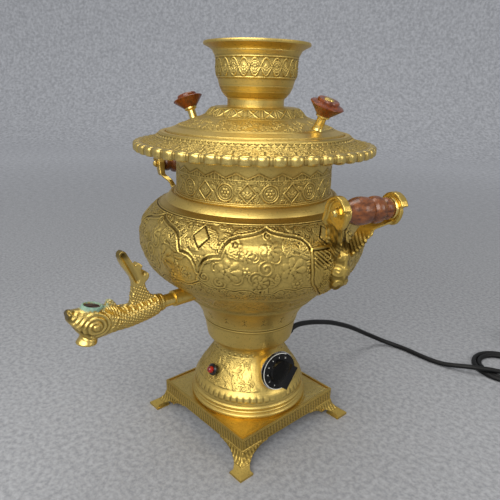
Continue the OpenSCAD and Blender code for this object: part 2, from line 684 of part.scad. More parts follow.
// ---- tap ----
module along_tap() { translate([0, 0, tap_z]) rotate([90, 0, 0]) children(); }
socket_h = 8;
module tap_pipe() {
    color(BRASS_BRIGHT) along_tap() difference() {
        union() {
            disc(tap_pipe_r - 1.1, tap_boss_in - 6.4, tap_boss_y + 1);
            disc(tap_pipe_r, tap_boss_y, tap_body_y);
            disc(tap_pipe_r - 1.1, tap_body_y - 1, tap_body_y + socket_h);
        }
        disc(water_r, tap_boss_in - 8, tap_body_y + socket_h + 1);
    }
}
module tap_shank_nut() {
    color(BRASS_DARK) along_tap() difference() {
        translate([0, 0, tap_boss_in - 5.4]) cylinder(r = tap_pipe_r + 3, h = 5.4, $fn = 6);
        disc(tap_pipe_r - 1.05, tap_boss_in - 8, tap_boss_y);
    }
}
module on_plug_axis() {
    translate([0, -tap_plug_y, tap_z]) rotate([-tap_plug_lean, 0, 0]) children();
}
plug_taper = (plug_top_r - plug_low_r) / (plug_up + plug_down);
function plug_r(h) = plug_low_r + plug_taper * (h + plug_down);

// rings of the fish's body: distance behind the plug, height of its centre, half height, half width
fish_l = tap_plug_y - tap_body_y;
FISH = smooth([[fish_l, 0.5, 9.4, 9.4], [fish_l - 6, 0.5, 9.6, 9.6], [fish_l - 9, 0, 11, 10.8],
    [fish_l - 22, -2, 11.6, 11.2], [fish_l - 42, -3.6, 12, 11.6], [26, -2, 13, 12.6],
    [15, 0, 15.5, 14], [3, 1.2, 17, 15], [-7, 3.5, 15.4, 13.6], [-15, 7.6, 11.6, 10.6],
    [-20.5, 12.4, 8.4, 8], [-23, 15.5, 4.6, 5]], 2);
function fish_ring(g) = [for (k = [0:17])
    [g[3] * cos(20 * k), g[0] - tap_plug_y, tap_z + g[1] + g[2] * sin(20 * k)]];
// tail and crest as outlines in height over distance from the plug, seen from the side
TAIL = smooth([[44, 8], [47.5, 26], [46, 37], [38, 50], [33, 62], [35, 67.5], [40, 67], [45, 58],
    [50, 50.5], [53.5, 52.5], [58, 48.5], [56.5, 43.5], [60.5, 42.5], [65.5, 38], [64, 32], [60.5, 29],
    [62, 21], [67, 14], [72, 8]], 2);
CREST = [[16, 10], [17.5, 16], [19, 19.5], [22, 20], [25, 17], [27, 13.5], [30, 9]];
module side_plate(p, t) {
    translate([t / 2, 0, tap_z]) rotate([90, 0, -90]) linear_extrude(t)
        polygon([for (q = p) [tap_plug_y - q.x, q.y]]);
}
module tap_body() {
    color(BRASS) difference() {
        union() {
            skin([for (g = FISH) fish_ring(g)]);
            side_plate(TAIL, tail_t);
            side_plate(CREST, 5);
            on_plug_axis() {
                turned([[0, -spout_drop], [spout_r - 1, -spout_drop], [spout_r, -spout_drop + 1.2],
                    [spout_r - 0.8, -spout_drop + 3], [spout_r - 2, -spout_drop + 6], [spout_r - 2.4,
                        -spout_drop + 9],
                    [spout_r - 1, 0], [spout_r, 8], [plug_top_r + 2.6, plug_up - 1], [plug_top_r + 1.8,
                        plug_up + 0.6],
                    [0, plug_up + 0.6]]);
            }
        }
        along_tap() {
            disc(tap_pipe_r - 1, tap_body_y - 2, tap_body_y + socket_h + 0.2);
            disc(water_r, tap_body_y, tap_plug_y - 1);
        }
        on_plug_axis() {
            turned([[0, -plug_down - 0.5], [plug_r(-plug_down - 0.5) + run_fit, -plug_down - 0.5],
                [plug_r(plug_up + 2) + run_fit, plug_up + 2], [0, plug_up + 2]]);
            disc(plug_low_r - 1.6, -spout_drop - 1, 0);
            turned([[0, -spout_drop - 1], [spout_r - 2.2, -spout_drop - 1], [spout_r - 2.6, -spout_drop + 1],
                [plug_low_r - 1.6, -spout_drop + 5], [0, -spout_drop + 5]]);
        }
    }
}
module tap_plug() {
    color(FIBRE) on_plug_axis() difference() {
        union() {
            turned([[0, -plug_down], [plug_r(-plug_down), -plug_down], [plug_r(plug_up - 1), plug_up - 1],
                [0, plug_up - 1]]);
        }
        disc(plug_low_r - 2.2, -plug_down - 1, 4);
        rotate([tap_plug_lean, 0, 0]) rotate([-90, 0, 0]) disc(water_r - 0.8, 0, 12);
        translate([-1, -plug_top_r, plug_up - 2.6]) cube([2, 2 * plug_top_r, 3]);
    }
}

// ---- heating element ----
leg_gap = 9;
module heating_element() {
    ring_z = element_z + element_rise;
    color(COPPER) difference() {
        union() {
            disc(flange_r, element_z + 1.5, element_z + 6);
            disc(shank_r, tank_z - 12, element_z + 2);
            translate([0, 0, ring_z]) rotate([0, 0, 14])
                rotate_extrude(angle = 332) translate([element_ring_r, 0]) circle(element_tube_r, $fn = 24);
            for (s = [-1, 1]) {
                bend = [element_ring_r * cos(14), s * element_ring_r * sin(14), ring_z];
                foot = [4, s * leg_gap, element_z + 22];
                translate(bend) sphere(element_tube_r + 0.3, $fn = 36);
                translate(foot) sphere(element_tube_r + 0.3, $fn = 36);
                rod(foot, bend, element_tube_r);
                translate([4, s * leg_gap, 0]) disc(element_tube_r, element_z + 4, element_z + 22);
            }
        }
        translate([-10, 0, 0]) disc(2 + bolt_fit, tank_z - 20, element_z + 10);
    }
}
module element_gasket() {
    color(BLACK) ring(flange_r - 0.5, shank_r + bolt_fit, element_z, element_z + 1.5);
}
module element_nut() {
    color(BRASS_DARK) difference() {
        translate([0, 0, tank_z - 10.5]) cylinder(r = shank_r + 5, h = 7, $fn = 6);
        disc(shank_r + 0.05, tank_z - 20, tank_z);
    }
}
module element_terminals() {
    color(STEEL) for (s = [-1, 1]) translate([4, s * leg_gap, 0]) {
        disc(2.2, tank_z - 22, tank_z - 12);
        translate([-3.2, -0.4, tank_z - 30]) cube([6.4, 0.8, 9]);
    }
}

// ---- thermostat ----
body_d = 18;
module thermostat_body() {
    color(WHITE) on_knob_axis() difference() {
        union() {
            translate([-14, -14, body_d]) cube([28, 28, boss_d - 4 - body_d]);
            disc(bush_r, boss_d - 5, knob_seat + 5.4);
        }
        disc(shaft_r + run_fit, body_d + 12, knob_seat + 8);
    }
}
PROBE_PATH = [[-10, 0, tank_z - 14], [-9.5, 0, tank_z - 17], [-6, 0, tank_z - 20.5], [2, 0, tank_z - 23],
    [12, -1, tank_z - 25], [23, -3, tank_z - 26.5]];
module thermostat_probe() {
    color(COPPER) union() {
        translate([-10, 0, 0]) disc(2, tank_z - 15.5, element_z + 12);
        translate([-10, 0, 0]) disc(3, element_z + 12, element_z + 52);
        tube(PROBE_PATH, 1, 8, [0, 1, 0]);
    }
}
module thermostat_nut() {
    color(STEEL) on_knob_axis() difference() {
        translate([0, 0, knob_seat + 1.2]) cylinder(r = bush_r + 2.6, h = 2.6, $fn = 6);
        disc(bush_r + 0.05, knob_seat, knob_seat + 6);
    }
}
module knob_bezel() {
    color(STEEL) on_knob_axis() difference() {
        disc(knob_r + 1, knob_seat, knob_seat + 1.2);
        disc(bush_r + bolt_fit, knob_seat - 1, knob_seat + 2);
    }
}
knob_back = knob_seat + 1.2 + air_gap;
knob_hub_r = 14.5;
module thermostat_shaft() {
    color(STEEL) on_knob_axis() disc(shaft_r, body_d + 14, knob_back + 15);
}
module thermostat_knob() {
    color(BLACK) on_knob_axis() difference() {
        union() {
            disc(knob_r, knob_back, knob_back + 2.4);
            translate([0, 0, knob_back + 2.4])
                turned([[0, 0], [knob_r - 0.6, 0], [knob_r - 5, 1], [knob_hub_r, 1.6], [knob_hub_r - 1,
                    5], [0, 5]]);
            rotate([0, 0, knob_rest]) translate([-knob_hub_r, -4.5, knob_back])
                cube([2 * knob_hub_r, 9, knob_grip_h + 2.4]);
        }
        disc(bush_r + 3.4, knob_back - 1, knob_back + 4.6);
        disc(shaft_r, knob_back, knob_back + 15);
    }
}
knob_rest = 143;

// ---- pilot lamp ----
lamp_out = 0.6;
module pilot_bezel() {
    color(BLACK) on_lamp_axis() difference() {
        union() {
            turned([[0, lamp_out], [lamp_r, lamp_out], [lamp_r, lamp_out + 1.4], [lamp_r - 1.4,
                lamp_out + 3], [0, lamp_out + 3]]);
            disc(lamp_body_r, -17, lamp_out + 1);
        }
        disc(lamp_body_r - 1.4, -14, lamp_out + 4);
    }
}
module pilot_lens() {
    r = lamp_body_r - 1.5;
    color(RED) on_lamp_axis() turned([[0, -6], [r, -6], [r, lamp_out + 3], [r + 1, lamp_out + 3.1],
        [r + 0.8, lamp_out + 5.2], [r - 0.4, lamp_out + 7.2], [r - 1.9, lamp_out + 8.2], [0,
            lamp_out + 8.6]]);
}
module pilot_nut() {
    color(STEEL) on_lamp_axis() difference() {
        translate([0, 0, -12.5]) cylinder(r = lamp_body_r + 2.4, h = 3, $fn = 6);
        disc(lamp_body_r + 0.05, -14, 0);
    }
}

// ---- wiring ----
block_y = 47;
block = [36, 18, 13];
module terminal_block() {
    color(WHITE) translate([0, block_y, stand_height]) difference() {
        translate([-block.x / 2, -block.y / 2, 0]) cube(block);
        for (x = [-12, 0, 12]) for (y = [-4, 4]) translate([x, y, 0]) disc(2.4, 5, 20);
    }
}
function droop(a, b, c) = smooth([a, c, b], 6);
module wiring() {
    top = stand_height + block.z;
    color(BLACK) {
        tube(droop([12, block_y - 4, top], [4, leg_gap, tank_z - 29.5], [14, 30, 74]), 1.2, 8, [1, 0, 0]);
        tube(droop([0, block_y - 4, top], [4, -leg_gap, tank_z - 29.5], [-16, 10, 68]), 1.2, 8, [1, 0, 0]);
        tube(droop([12, block_y + 4, top], [32, 6, 78], [28, 30, 66]), 1.2, 8, [1, 0, 0]);
        tube(droop([-12, block_y - 4, top], [0, -43.5, 81], [-26, 0, 62]), 1.2, 8, [1, 0, 0]);
        tube(droop([-12, block_y + 4, top], [-1.6, 38, 81], [-8, 37, 66]), 1.2, 8, [1, 0, 0]);
        tube(droop([0, block_y + 4, top], [1.6, 38, 81], [3, 39, 66]), 1.2, 8, [1, 0, 0]);
    }
}

// ---- mains lead ----
module cord_gland() {
    r = cord_d / 2;
    color(BLACK) difference() {
        union() {
            on_gland_axis() disc(r + 1.5, -14, 4);
            on_gland_axis() turned([[0, 3.6], [r + 2.8, 3.6], [r + 2.6, 6], [r + 1.2, gland_l], [0,
                gland_l]]);
            on_gland_axis() translate([0, 0, -9]) cylinder(r = r + 4.2, h = 3, $fn = 6);
            on_gland_seat() disc(r + 4.5, 1.6, 4.4);
        }
        on_gland_axis() disc(r, -20, gland_l + 1);
    }
}
pitch = cord_d + 0.3;
coil_out_r = coil_in_r + pitch * coil_turns;
coil_x = 188;
coil_y = 388;
coil_end_a = 33;
LEAD = [[0, 78, 95.7], [0, 84, 97.9], [0, 92, 99.2], [0, 103, 98.2], [0, 114, 96], [0, 128, 92.6],
    [0, 142, 88.4], [-1, 158, 82.8], [-1, 174, 77], [-1, 191, 69.5], [-1, 208, 61.5], [-1, 225, 53],
    [0, 241, 44], [1, 257, 34.5], [3.5, 272, 25.5], [8, 286, 17.5], [14.5, 297, 11], [23, 305, 7],
    [33, 310, 5], [44, 313, 4], [58, 314.5, 3.8], [80, 314, 3.8], [98, 314.5, 3.8], [113, 316.5, 4],
    [124, 318.5, 5], [135, 321.5, 7], [146, 325.5, 9.2], [156, 330, 10.8], [166, 335.7, 11.5],
    [176, 342.5, 11.5], [186, 349.5, 11.2], [196, 357, 9.8], [204, 363, 7.5]];
function tail(along, z) = [coil_x + coil_out_r * cos(coil_end_a) - along * sin(coil_end_a),
    coil_y + coil_out_r * sin(coil_end_a) + along * cos(coil_end_a), z];
relief_y = 48;
relief_l = 32;
plug_r = 18.5;
TAIL_END = [tail(-8, cord_d / 2), tail(0, cord_d / 2), tail(8, cord_d / 2 + 0.4), tail(16, 6), tail(24, 9.6),
    tail(32, 13.6), tail(40, 16.8), tail(relief_y, plug_r), tail(relief_y + 8, plug_r)];
module cord() {
    color(BLACK) {
        on_gland_axis() disc(cord_d / 2, -18, gland_l);
        tube(smooth(LEAD, 2), cord_d / 2, 10);
        tube(smooth(TAIL_END, 2), cord_d / 2, 10);
    }
}
module cord_coil() {
    color(BLACK) translate([coil_x, coil_y, 0])
        ring(coil_out_r + cord_d / 2, coil_in_r - cord_d / 2, 0, cord_d);
}
module at_plug() {
    translate([coil_x, coil_y, plug_r]) rotate([0, 0, coil_end_a]) translate([coil_out_r, relief_y, 0])
        rotate([-90, 0, 0]) children();
}
module plug_relief() {
    r = cord_d / 2;
    color(BLACK) at_plug() difference() {
        turned([[0, 0], [r + 1.2, 0], [r + 1.6, 4], [r + 3.4, relief_l], [0, relief_l]]);
        disc(r, -1, 9);
    }
}
module plug_body() {
    color(BLACK) at_plug() translate([0, 0, relief_l])
        turned([[0, 0], [8, 0], [9, 3], [12, 8], [plug_r - 1, 16], [plug_r, 19], [plug_r, 37],
            [plug_r - 1, 38.5], [0, 38.5]]);
}
module plug_pins() {
    color(STEEL) at_plug() translate([0, 0, relief_l + 38.5])
        for (s = [-1, 1]) translate([s * pin_gap / 2, 0, 0]) disc(pin_d / 2, 0, pin_l);
}

square_stand();
base_cover();
base_cover_screws();
pedestal_bell();
bell_bolts();
tank_cup();
tank_belly();
tank_shoulder();
tank_neck();
brim_ring();
lid();
lid_collar();
lid_knob_posts();
lid_post_nuts();
lid_knobs();
lid_knob_caps();
crown();
handle_bracket_right();
handle_bracket_left();
bracket_bolts();
bracket_nuts();
handle_grip_right();
handle_grip_left();
handle_rods();
handle_ferrules();
handle_nuts();
tap_pipe();
tap_shank_nut();
tap_body();
tap_plug();
heating_element();
element_gasket();
element_nut();
element_terminals();
thermostat_body();
thermostat_probe();
thermostat_nut();
knob_bezel();
thermostat_shaft();
thermostat_knob();
pilot_bezel();
pilot_lens();
pilot_nut();
terminal_block();
wiring();
cord_gland();
cord();
cord_coil();
plug_relief();
plug_body();
plug_pins();
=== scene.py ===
"""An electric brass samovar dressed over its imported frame: engraved brass skins, a cast fish tap,
scrolled handle brackets, turned wood, the thermostat's dial and the mains lead. Lengths are in
millimetres until they reach Blender, which takes metres. Z is up, the tap is on -Y."""

import math
from functools import partial

import bpy
import numpy as np
from mathutils import Matrix, Vector
from mathutils.bvhtree import BVHTree


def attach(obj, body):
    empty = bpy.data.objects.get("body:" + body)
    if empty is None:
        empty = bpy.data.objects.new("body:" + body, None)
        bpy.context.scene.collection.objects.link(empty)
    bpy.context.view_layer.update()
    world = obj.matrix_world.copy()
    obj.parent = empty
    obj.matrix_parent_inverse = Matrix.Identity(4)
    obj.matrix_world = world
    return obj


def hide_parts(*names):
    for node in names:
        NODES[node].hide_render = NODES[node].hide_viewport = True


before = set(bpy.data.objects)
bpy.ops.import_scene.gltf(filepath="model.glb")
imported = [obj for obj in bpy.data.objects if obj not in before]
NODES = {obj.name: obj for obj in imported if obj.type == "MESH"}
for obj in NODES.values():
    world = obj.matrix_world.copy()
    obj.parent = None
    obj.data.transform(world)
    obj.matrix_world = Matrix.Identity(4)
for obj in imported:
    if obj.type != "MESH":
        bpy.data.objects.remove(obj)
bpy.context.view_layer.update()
MM = 0.001
TAU = 2 * math.pi


# ---- lines --------------------------------------------------------------------------------

def spline(points, steps):
    """Catmull-Rom points through a list, with both ends kept."""
    p = np.array(points, float)
    made = []
    for i in range(len(p) - 1):
        a, b, c, d = p[max(i - 1, 0)], p[i], p[i + 1], p[min(i + 2, len(p) - 1)]
        for k in range(steps):
            t = k / steps
            made.append(0.5 * (2 * b + (c - a) * t + (2 * a - 5 * b + 4 * c - d) * t * t
                               + (3 * b - a - 3 * c + d) * t ** 3))
    return np.array(made + [p[-1]])


def even(points, pitch):
    """The same line with points every pitch millimetres."""
    p = np.array(points, float)
    run = np.concatenate([[0], np.cumsum(np.linalg.norm(np.diff(p, axis=0), axis=1))])
    at = np.linspace(0, run[-1], max(2, round(run[-1] / pitch) + 1))
    return np.stack([np.interp(at, run, p[:, k]) for k in range(p.shape[1])], axis=1)


def to_line(x, y, points):
    """How far each place (x, y) is from a line through points."""
    best = np.full(x.shape, np.inf)
    for (x0, y0), (x1, y1) in zip(points[:-1], points[1:]):
        dx, dy = x1 - x0, y1 - y0
        t = np.clip(((x - x0) * dx + (y - y0) * dy) / (dx * dx + dy * dy), 0, 1)
        best = np.minimum(best, np.hypot(x - x0 - t * dx, y - y0 - t * dy))
    return best


# ---- camera -------------------------------------------------------------------------------

CAMERA_AT = (428.03, -394.99, 423.47)
CAMERA_LOOKS = (-0.70047, 0.64169, -0.31237)
CAMERA_ROLL = 1.48
CAMERA_LENS = 35.556


def make_camera():
    data = bpy.data.cameras.new("camera")
    data.lens, data.sensor_width = CAMERA_LENS, 36.0
    data.clip_start, data.clip_end = 0.01, 30
    camera = bpy.data.objects.new("camera", data)
    bpy.context.scene.collection.objects.link(camera)
    turn = Vector(CAMERA_LOOKS).to_track_quat("-Z", "Y") @ Matrix.Rotation(
        math.radians(CAMERA_ROLL), 3, "Z").to_quaternion()
    camera.matrix_world = Matrix.Translation(Vector(CAMERA_AT) * MM) @ turn.to_matrix().to_4x4()
    bpy.context.scene.camera = camera


make_camera()


# ---- mains lead ---------------------------------------------------------------------------

CORD_D = 7.5
COIL_AT = (188, 388)
COIL_IN, COIL_TURNS, COIL_PITCH = 30.0, 2.25, CORD_D + 0.3
COIL_START, COIL_END = -57.4, 33        # degrees where the coil takes the lead over and lets it go
COIL_DROP = 40                          # degrees over which it comes down onto the table
COIL_STEPS = 24                         # points to a turn
LEAD = [(0, 78, 95.7), (0, 84, 97.9), (0, 92, 99.2), (0, 103, 98.2), (0, 114, 96), (0, 128, 92.6),
        (0, 142, 88.4), (-1, 158, 82.8), (-1, 174, 77), (-1, 191, 69.5), (-1, 208, 61.5), (-1, 225, 53),
        (0, 241, 44), (1, 257, 34.5), (3.5, 272, 25.5), (8, 286, 17.5), (14.5, 297, 11), (23, 305, 7),
        (33, 310, 5), (44, 313, 4), (58, 314.5, 3.8), (80, 314, 3.8), (98, 314.5, 3.8), (113, 316.5, 4),
        (124, 318.5, 5), (135, 321.5, 7), (146, 325.5, 9.2), (156, 330, 10.8), (166, 335.7, 11.5),
        (176, 342.5, 11.5), (186, 349.5, 11.2), (196, 357, 9.8), (204, 363, 7.5)]
TAIL_RISE = [(8, 4.15), (16, 6), (24, 9.6), (32, 13.6), (40, 16.8), (48, 18.5), (56, 18.5)]


def coil():
    """The flat coil: it takes the lead over, comes down and grows by a pitch each turn."""
    steps, made = round(COIL_TURNS * COIL_STEPS), []
    for k in range(1, steps + 1):
        gone = k / steps
        a = math.radians(COIL_START + gone * (COIL_END - COIL_START + 360 * math.floor(COIL_TURNS)))
        r = COIL_IN + COIL_PITCH * COIL_TURNS * gone
        over = max(0, 1 - gone * 360 * COIL_TURNS / COIL_DROP) ** 2
        made.append((COIL_AT[0] + r * math.cos(a), COIL_AT[1] + r * math.sin(a), CORD_D / 2 * (1 + over)))
    return made


def tail():
    """The end of the lead leaves the coil straight and climbs into the plug."""
    a, r = math.radians(COIL_END), COIL_IN + COIL_PITCH * COIL_TURNS
    x, y = COIL_AT[0] + r * math.cos(a), COIL_AT[1] + r * math.sin(a)
    return [(x - along * math.sin(a), y + along * math.cos(a), z) for along, z in TAIL_RISE]


def make_cord():
    """The whole lead as one curve, from its gland on the bell to its plug."""
    route = spline(LEAD + coil() + tail(), 3) * MM
    data = bpy.data.curves.new("mains_lead", "CURVE")
    data.dimensions, data.bevel_depth, data.bevel_resolution, data.use_fill_caps = "3D", 1.0, 5, True
    line = data.splines.new("POLY")
    line.points.add(len(route) - 1)
    line.points.foreach_set("co", np.hstack([route, np.ones((len(route), 1))]).ravel())
    # the bevel is 1 m deep and each point takes its share of it, which keeps the curve's box true
    line.points.foreach_set("radius", [CORD_D / 2 * MM] * len(route))
    made = bpy.data.objects.new("mains_lead", data)
    bpy.context.scene.collection.objects.link(made)
    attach(made, "samovar")
    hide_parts("cord", "cord_coil")
    return made


MAINS_LEAD = make_cord()


# ---- materials ----------------------------------------------------------------------------

def linear(hex_colour):
    """A web colour as linear RGBA."""
    parts = [int(hex_colour[i:i + 2], 16) / 255 for i in (1, 3, 5)]
    return [c / 12.92 if c <= 0.04045 else ((c + 0.055) / 1.055) ** 2.4 for c in parts] + [1.0]


def grains(size_mm):
    """The scale at which noise has grains about size_mm across."""
    return 0.5 / (size_mm * MM)


def fill(node, sockets):
    """Fills a node's inputs with values or links."""
    for key, value in sockets.items():
        if isinstance(value, bpy.types.NodeSocket):
            node.id_data.links.new(value, node.inputs[key])
        else:
            node.inputs[key].default_value = value


def add(tree, kind, sockets=None, out=0, **settings):
    """Adds a node with its properties and inputs, and gives one output. Inputs go by name, or by
    number: Math 0 and 1, MapRange 0 with its range 1 to 2 and result 3 to 4, Mix 0 with colours 6, 7."""
    node = tree.nodes.new("ShaderNode" + kind)
    for key, value in settings.items():
        setattr(node, key, value)
    fill(node, sockets or {})
    return node.outputs[out]


def start(name):
    """A new material, its tree and the object's own coordinates."""
    material = bpy.data.materials.new(name)
    material.use_nodes = True
    return material, material.node_tree, add(material.node_tree, "TexCoord", out="Object")


def brass(name, colour, tarnish, recess, rough, pits=0.35, stain=0.55):
    """Lacquered brass, cast or spun: warm metal with cloudy tarnish, dark lacquer left in the recesses,
    painted shade laid over some parts, and a fine matt tooth that breaks up the reflections. The real
    tooth is near 0.1 mm and is drawn at 0.45 mm, as coarse as it needs to show."""
    material, tree, where = start(name)
    cloud = add(tree, "TexNoise", {"Vector": where, "Scale": grains(26), "Detail": 4, "Roughness": 0.6})
    speck = add(tree, "TexNoise", {"Vector": where, "Scale": grains(1.3), "Detail": 3, "Roughness": 0.6})
    tooth = add(tree, "TexNoise", {"Vector": where, "Scale": grains(0.45), "Roughness": 0.6})
    # this attribute darkens the metal toward the recess colour: lacquer left in cuts, and painted shade on
    # the brim's beads, the fish's nose and the brackets' arms
    patina = add(tree, "Attribute", attribute_name="patina", out="Fac")
    blotch = add(tree, "Math", {0: add(tree, "MapRange", {0: cloud, 1: 0.38, 2: 0.7}), 1: stain},
                 operation="MULTIPLY")
    flecks = add(tree, "Math", {0: add(tree, "MapRange", {0: speck, 1: 0.56, 2: 0.74}), 1: 0.4},
                 operation="MULTIPLY")
    worn = add(tree, "Mix", {0: blotch, 6: linear(colour), 7: linear(tarnish)}, data_type="RGBA", out=2)
    dark = add(tree, "Math", {0: patina, 1: flecks}, operation="MAXIMUM", use_clamp=True)
    dull = add(tree, "MapRange", {0: cloud, 1: 0.3, 2: 0.75, 3: rough - 0.04, 4: rough + 0.07})
    fine = add(tree, "Bump", {"Strength": pits, "Distance": 0.00012, "Height": tooth})
    fill(tree.nodes["Principled BSDF"], {
        "Metallic": 1,
        "Base Color": add(tree, "Mix", {0: dark, 6: worn, 7: linear(recess)}, data_type="RGBA", out=2),
        "Roughness": add(tree, "Math", {0: dull, 1: add(tree, "MapRange", {0: dark, 4: 0.22})},
                         operation="ADD"),
        "Normal": add(tree, "Bump", {"Strength": pits, "Distance": 0.0003, "Height": speck, "Normal": fine})})
    return material


def turned_wood(name, light, dark, along):
    """Turned hardwood under glossy varnish: long dark pores follow the grain, and the varnish
    pools into soft highlights."""
    material, tree, where = start(name)
    stretch = add(tree, "Mapping", {"Vector": where, "Scale": along})
    pores = add(tree, "TexNoise", {"Vector": stretch, "Scale": grains(1.6), "Detail": 5, "Roughness": 0.65})
    cloud = add(tree, "TexNoise", {"Vector": where, "Scale": grains(16), "Detail": 3})
    band = add(tree, "Math", {0: add(tree, "MapRange", {0: pores, 1: 0.36, 2: 0.66}),
                              1: add(tree, "MapRange", {0: cloud, 1: 0.3, 2: 0.7, 3: -0.12, 4: 0.14})},
               operation="ADD", use_clamp=True)
    fill(tree.nodes["Principled BSDF"], {
        "IOR": 1.5, "Coat Weight": 0.2, "Coat Roughness": 0.2,
        "Base Color": add(tree, "Mix", {0: band, 6: linear(dark), 7: linear(light)}, data_type="RGBA", out=2),
        "Roughness": add(tree, "MapRange", {0: pores, 1: 0.3, 2: 0.7, 3: 0.34, 4: 0.22}),
        "Normal": add(tree, "Bump", {"Strength": 0.12, "Distance": 0.0002, "Height": pores})})
    return material


def moulded(name, colour, worn, rough, tooth_mm, ior=1.5, bump=0.2):
    """Moulded plastic or rubber: even colour with a dusty bloom and a faint tool texture."""
    material, tree, where = start(name)
    bloom = add(tree, "TexNoise", {"Vector": where, "Scale": grains(14), "Detail": 4, "Roughness": 0.6})
    tooth = add(tree, "TexNoise", {"Vector": where, "Scale": grains(tooth_mm)})
    dusty = add(tree, "MapRange", {0: bloom, 1: 0.4, 2: 0.75})
    fill(tree.nodes["Principled BSDF"], {
        "IOR": ior,
        "Base Color": add(tree, "Mix", {0: dusty, 6: linear(colour), 7: linear(worn)},
                          data_type="RGBA", out=2),
        "Roughness": add(tree, "MapRange", {0: bloom, 1: 0.3, 2: 0.75, 3: rough - 0.05, 4: rough + 0.08}),
        "Normal": add(tree, "Bump", {"Strength": bump, "Distance": 0.0001, "Height": tooth})})
    return material


def plated(name, colour, dull, rough):
    """Plated or bare sheet metal: pale reflections, with fine handling marks that dull it."""
    material, tree, where = start(name)
    mark = add(tree, "TexNoise", {"Vector": where, "Scale": grains(3.5), "Detail": 5, "Roughness": 0.7})
    rubbed = add(tree, "MapRange", {0: mark, 1: 0.45, 2: 0.75})
    fill(tree.nodes["Principled BSDF"], {
        "Metallic": 1,
        "Base Color": add(tree, "Mix", {0: rubbed, 6: linear(colour), 7: linear(dull)},
                          data_type="RGBA", out=2),
        "Roughness": add(tree, "MapRange", {0: mark, 1: 0.35, 2: 0.75, 3: rough, 4: rough + 0.15})})
    return material


def red_lens():
    """Clear red acrylic over a neon: deep colour at the middle and a hard gloss."""
    material, tree, where = start("acrylic_lens_red")
    facet = add(tree, "TexNoise", {"Vector": where, "Scale": grains(2.2), "Detail": 1})
    deep = add(tree, "MapRange", {0: facet, 1: 0.4, 2: 0.6})
    fill(tree.nodes["Principled BSDF"], {
        "IOR": 1.49, "Coat Weight": 0.8, "Coat Roughness": 0.05,
        "Base Color": add(tree, "Mix", {0: deep, 6: linear("#A80E09"), 7: linear("#640403")},
                          data_type="RGBA", out=2),
        "Roughness": add(tree, "MapRange", {0: facet, 1: 0.3, 2: 0.7, 3: 0.1, 4: 0.2})})
    return material


def verdigris_brass():
    """Cast brass round the tap's plug: pale blue-green carbonate where water has crept out, lying
    in a crust that fades into bare metal."""
    material, tree, where = start("verdigris_on_cast_brass")
    crust = add(tree, "TexNoise", {"Vector": where, "Scale": grains(2.4), "Detail": 5, "Roughness": 0.7})
    ragged = add(tree, "Math", {0: add(tree, "Attribute", attribute_name="verdigris", out="Fac"),
                                1: add(tree, "MapRange", {0: crust, 1: 0.3, 2: 0.7, 3: -0.3, 4: 0.3})},
                 operation="ADD")
    cover = add(tree, "MapRange", {0: ragged, 1: 0.5, 2: 0.84})
    # the metal darkens with the patina attribute: patina in the cuts, and painted shade at the front of the
    # fish's nose
    metal = add(tree, "Mix", {0: add(tree, "Attribute", attribute_name="patina", out="Fac"),
                              6: linear("#DCC070"), 7: linear("#3C2B0C")}, data_type="RGBA", out=2)
    salt = add(tree, "Mix", {0: add(tree, "MapRange", {0: crust, 1: 0.4, 2: 0.65}),
                             6: linear("#668A7C"), 7: linear("#93AE9A")}, data_type="RGBA", out=2)
    fill(tree.nodes["Principled BSDF"], {
        "Base Color": add(tree, "Mix", {0: cover, 6: metal, 7: salt}, data_type="RGBA", out=2),
        "Metallic": add(tree, "MapRange", {0: cover, 3: 1, 4: 0}),
        "Roughness": add(tree, "MapRange", {0: cover, 3: 0.33, 4: 0.85}),
        "Normal": add(tree, "Bump", {"Strength": 0.5, "Distance": 0.0003, "Height": crust})})
    return material


LACQUERED = brass("engraved_spun_brass", "#DFC370", "#BDA055", "#3F2F10", 0.39)
POLISHED = brass("polished_brass", "#E6CB7A", "#CBAC5C", "#5A431A", 0.27, 0.15, 0.35)
CAST = brass("chased_cast_brass", "#DABC66", "#B5954A", "#3C2B0C", 0.36)
FASTENER = brass("turned_brass_fasteners", "#C8AC62", "#A4874A", "#4F3A14", 0.34)
TAP_CAST = verdigris_brass()
GRIP_WOOD = turned_wood("varnished_rosewood_grips", "#8A5028", "#45210E", (1.0, 0.16, 1.0))
KNOB_WOOD = turned_wood("varnished_cherry_knobs", "#8A4212", "#501E06", (1.0, 1.0, 0.2))
KNOB_BLACK = moulded("phenolic_knob_black", "#070708", "#111112", 0.14, 0.6, 1.38, 0.1)
BEZEL_BLACK = moulded("nylon_bezel_black", "#101011", "#1E1E1F", 0.25, 0.4)
CORD_RUBBER = moulded("rubber_lead_black", "#060607", "#0E0E10", 0.5, 0.8, 1.4, 0.3)
PLUG_RUBBER = moulded("pvc_plug_black", "#0E0E0F", "#1D1D1F", 0.36, 0.5, 1.5, 0.3)
DIAL_INK = moulded("dial_print_white", "#E9E9E4", "#C9C9C4", 0.5, 0.4)
INSULATOR = moulded("urea_insulator_cream", "#DDD8C8", "#C6BFAA", 0.4, 0.6)
PLUG_BROWN = moulded("old_tap_plug_brown", "#3A211A", "#1C0F0B", 0.55, 1.2, 1.5, 0.7)
CHROME = plated("chromed_bezel", "#D9D9D8", "#B9B9B8", 0.12)
STEEL = plated("zinc_plated_steel", "#B9BBBC", "#8E9092", 0.3)
NICKEL = plated("nickel_plated_pins", "#C9C7C0", "#A7A59E", 0.22)
COPPER = plated("heater_sheath_copper", "#B9764C", "#7A4A30", 0.36)
RED_LENS = red_lens()

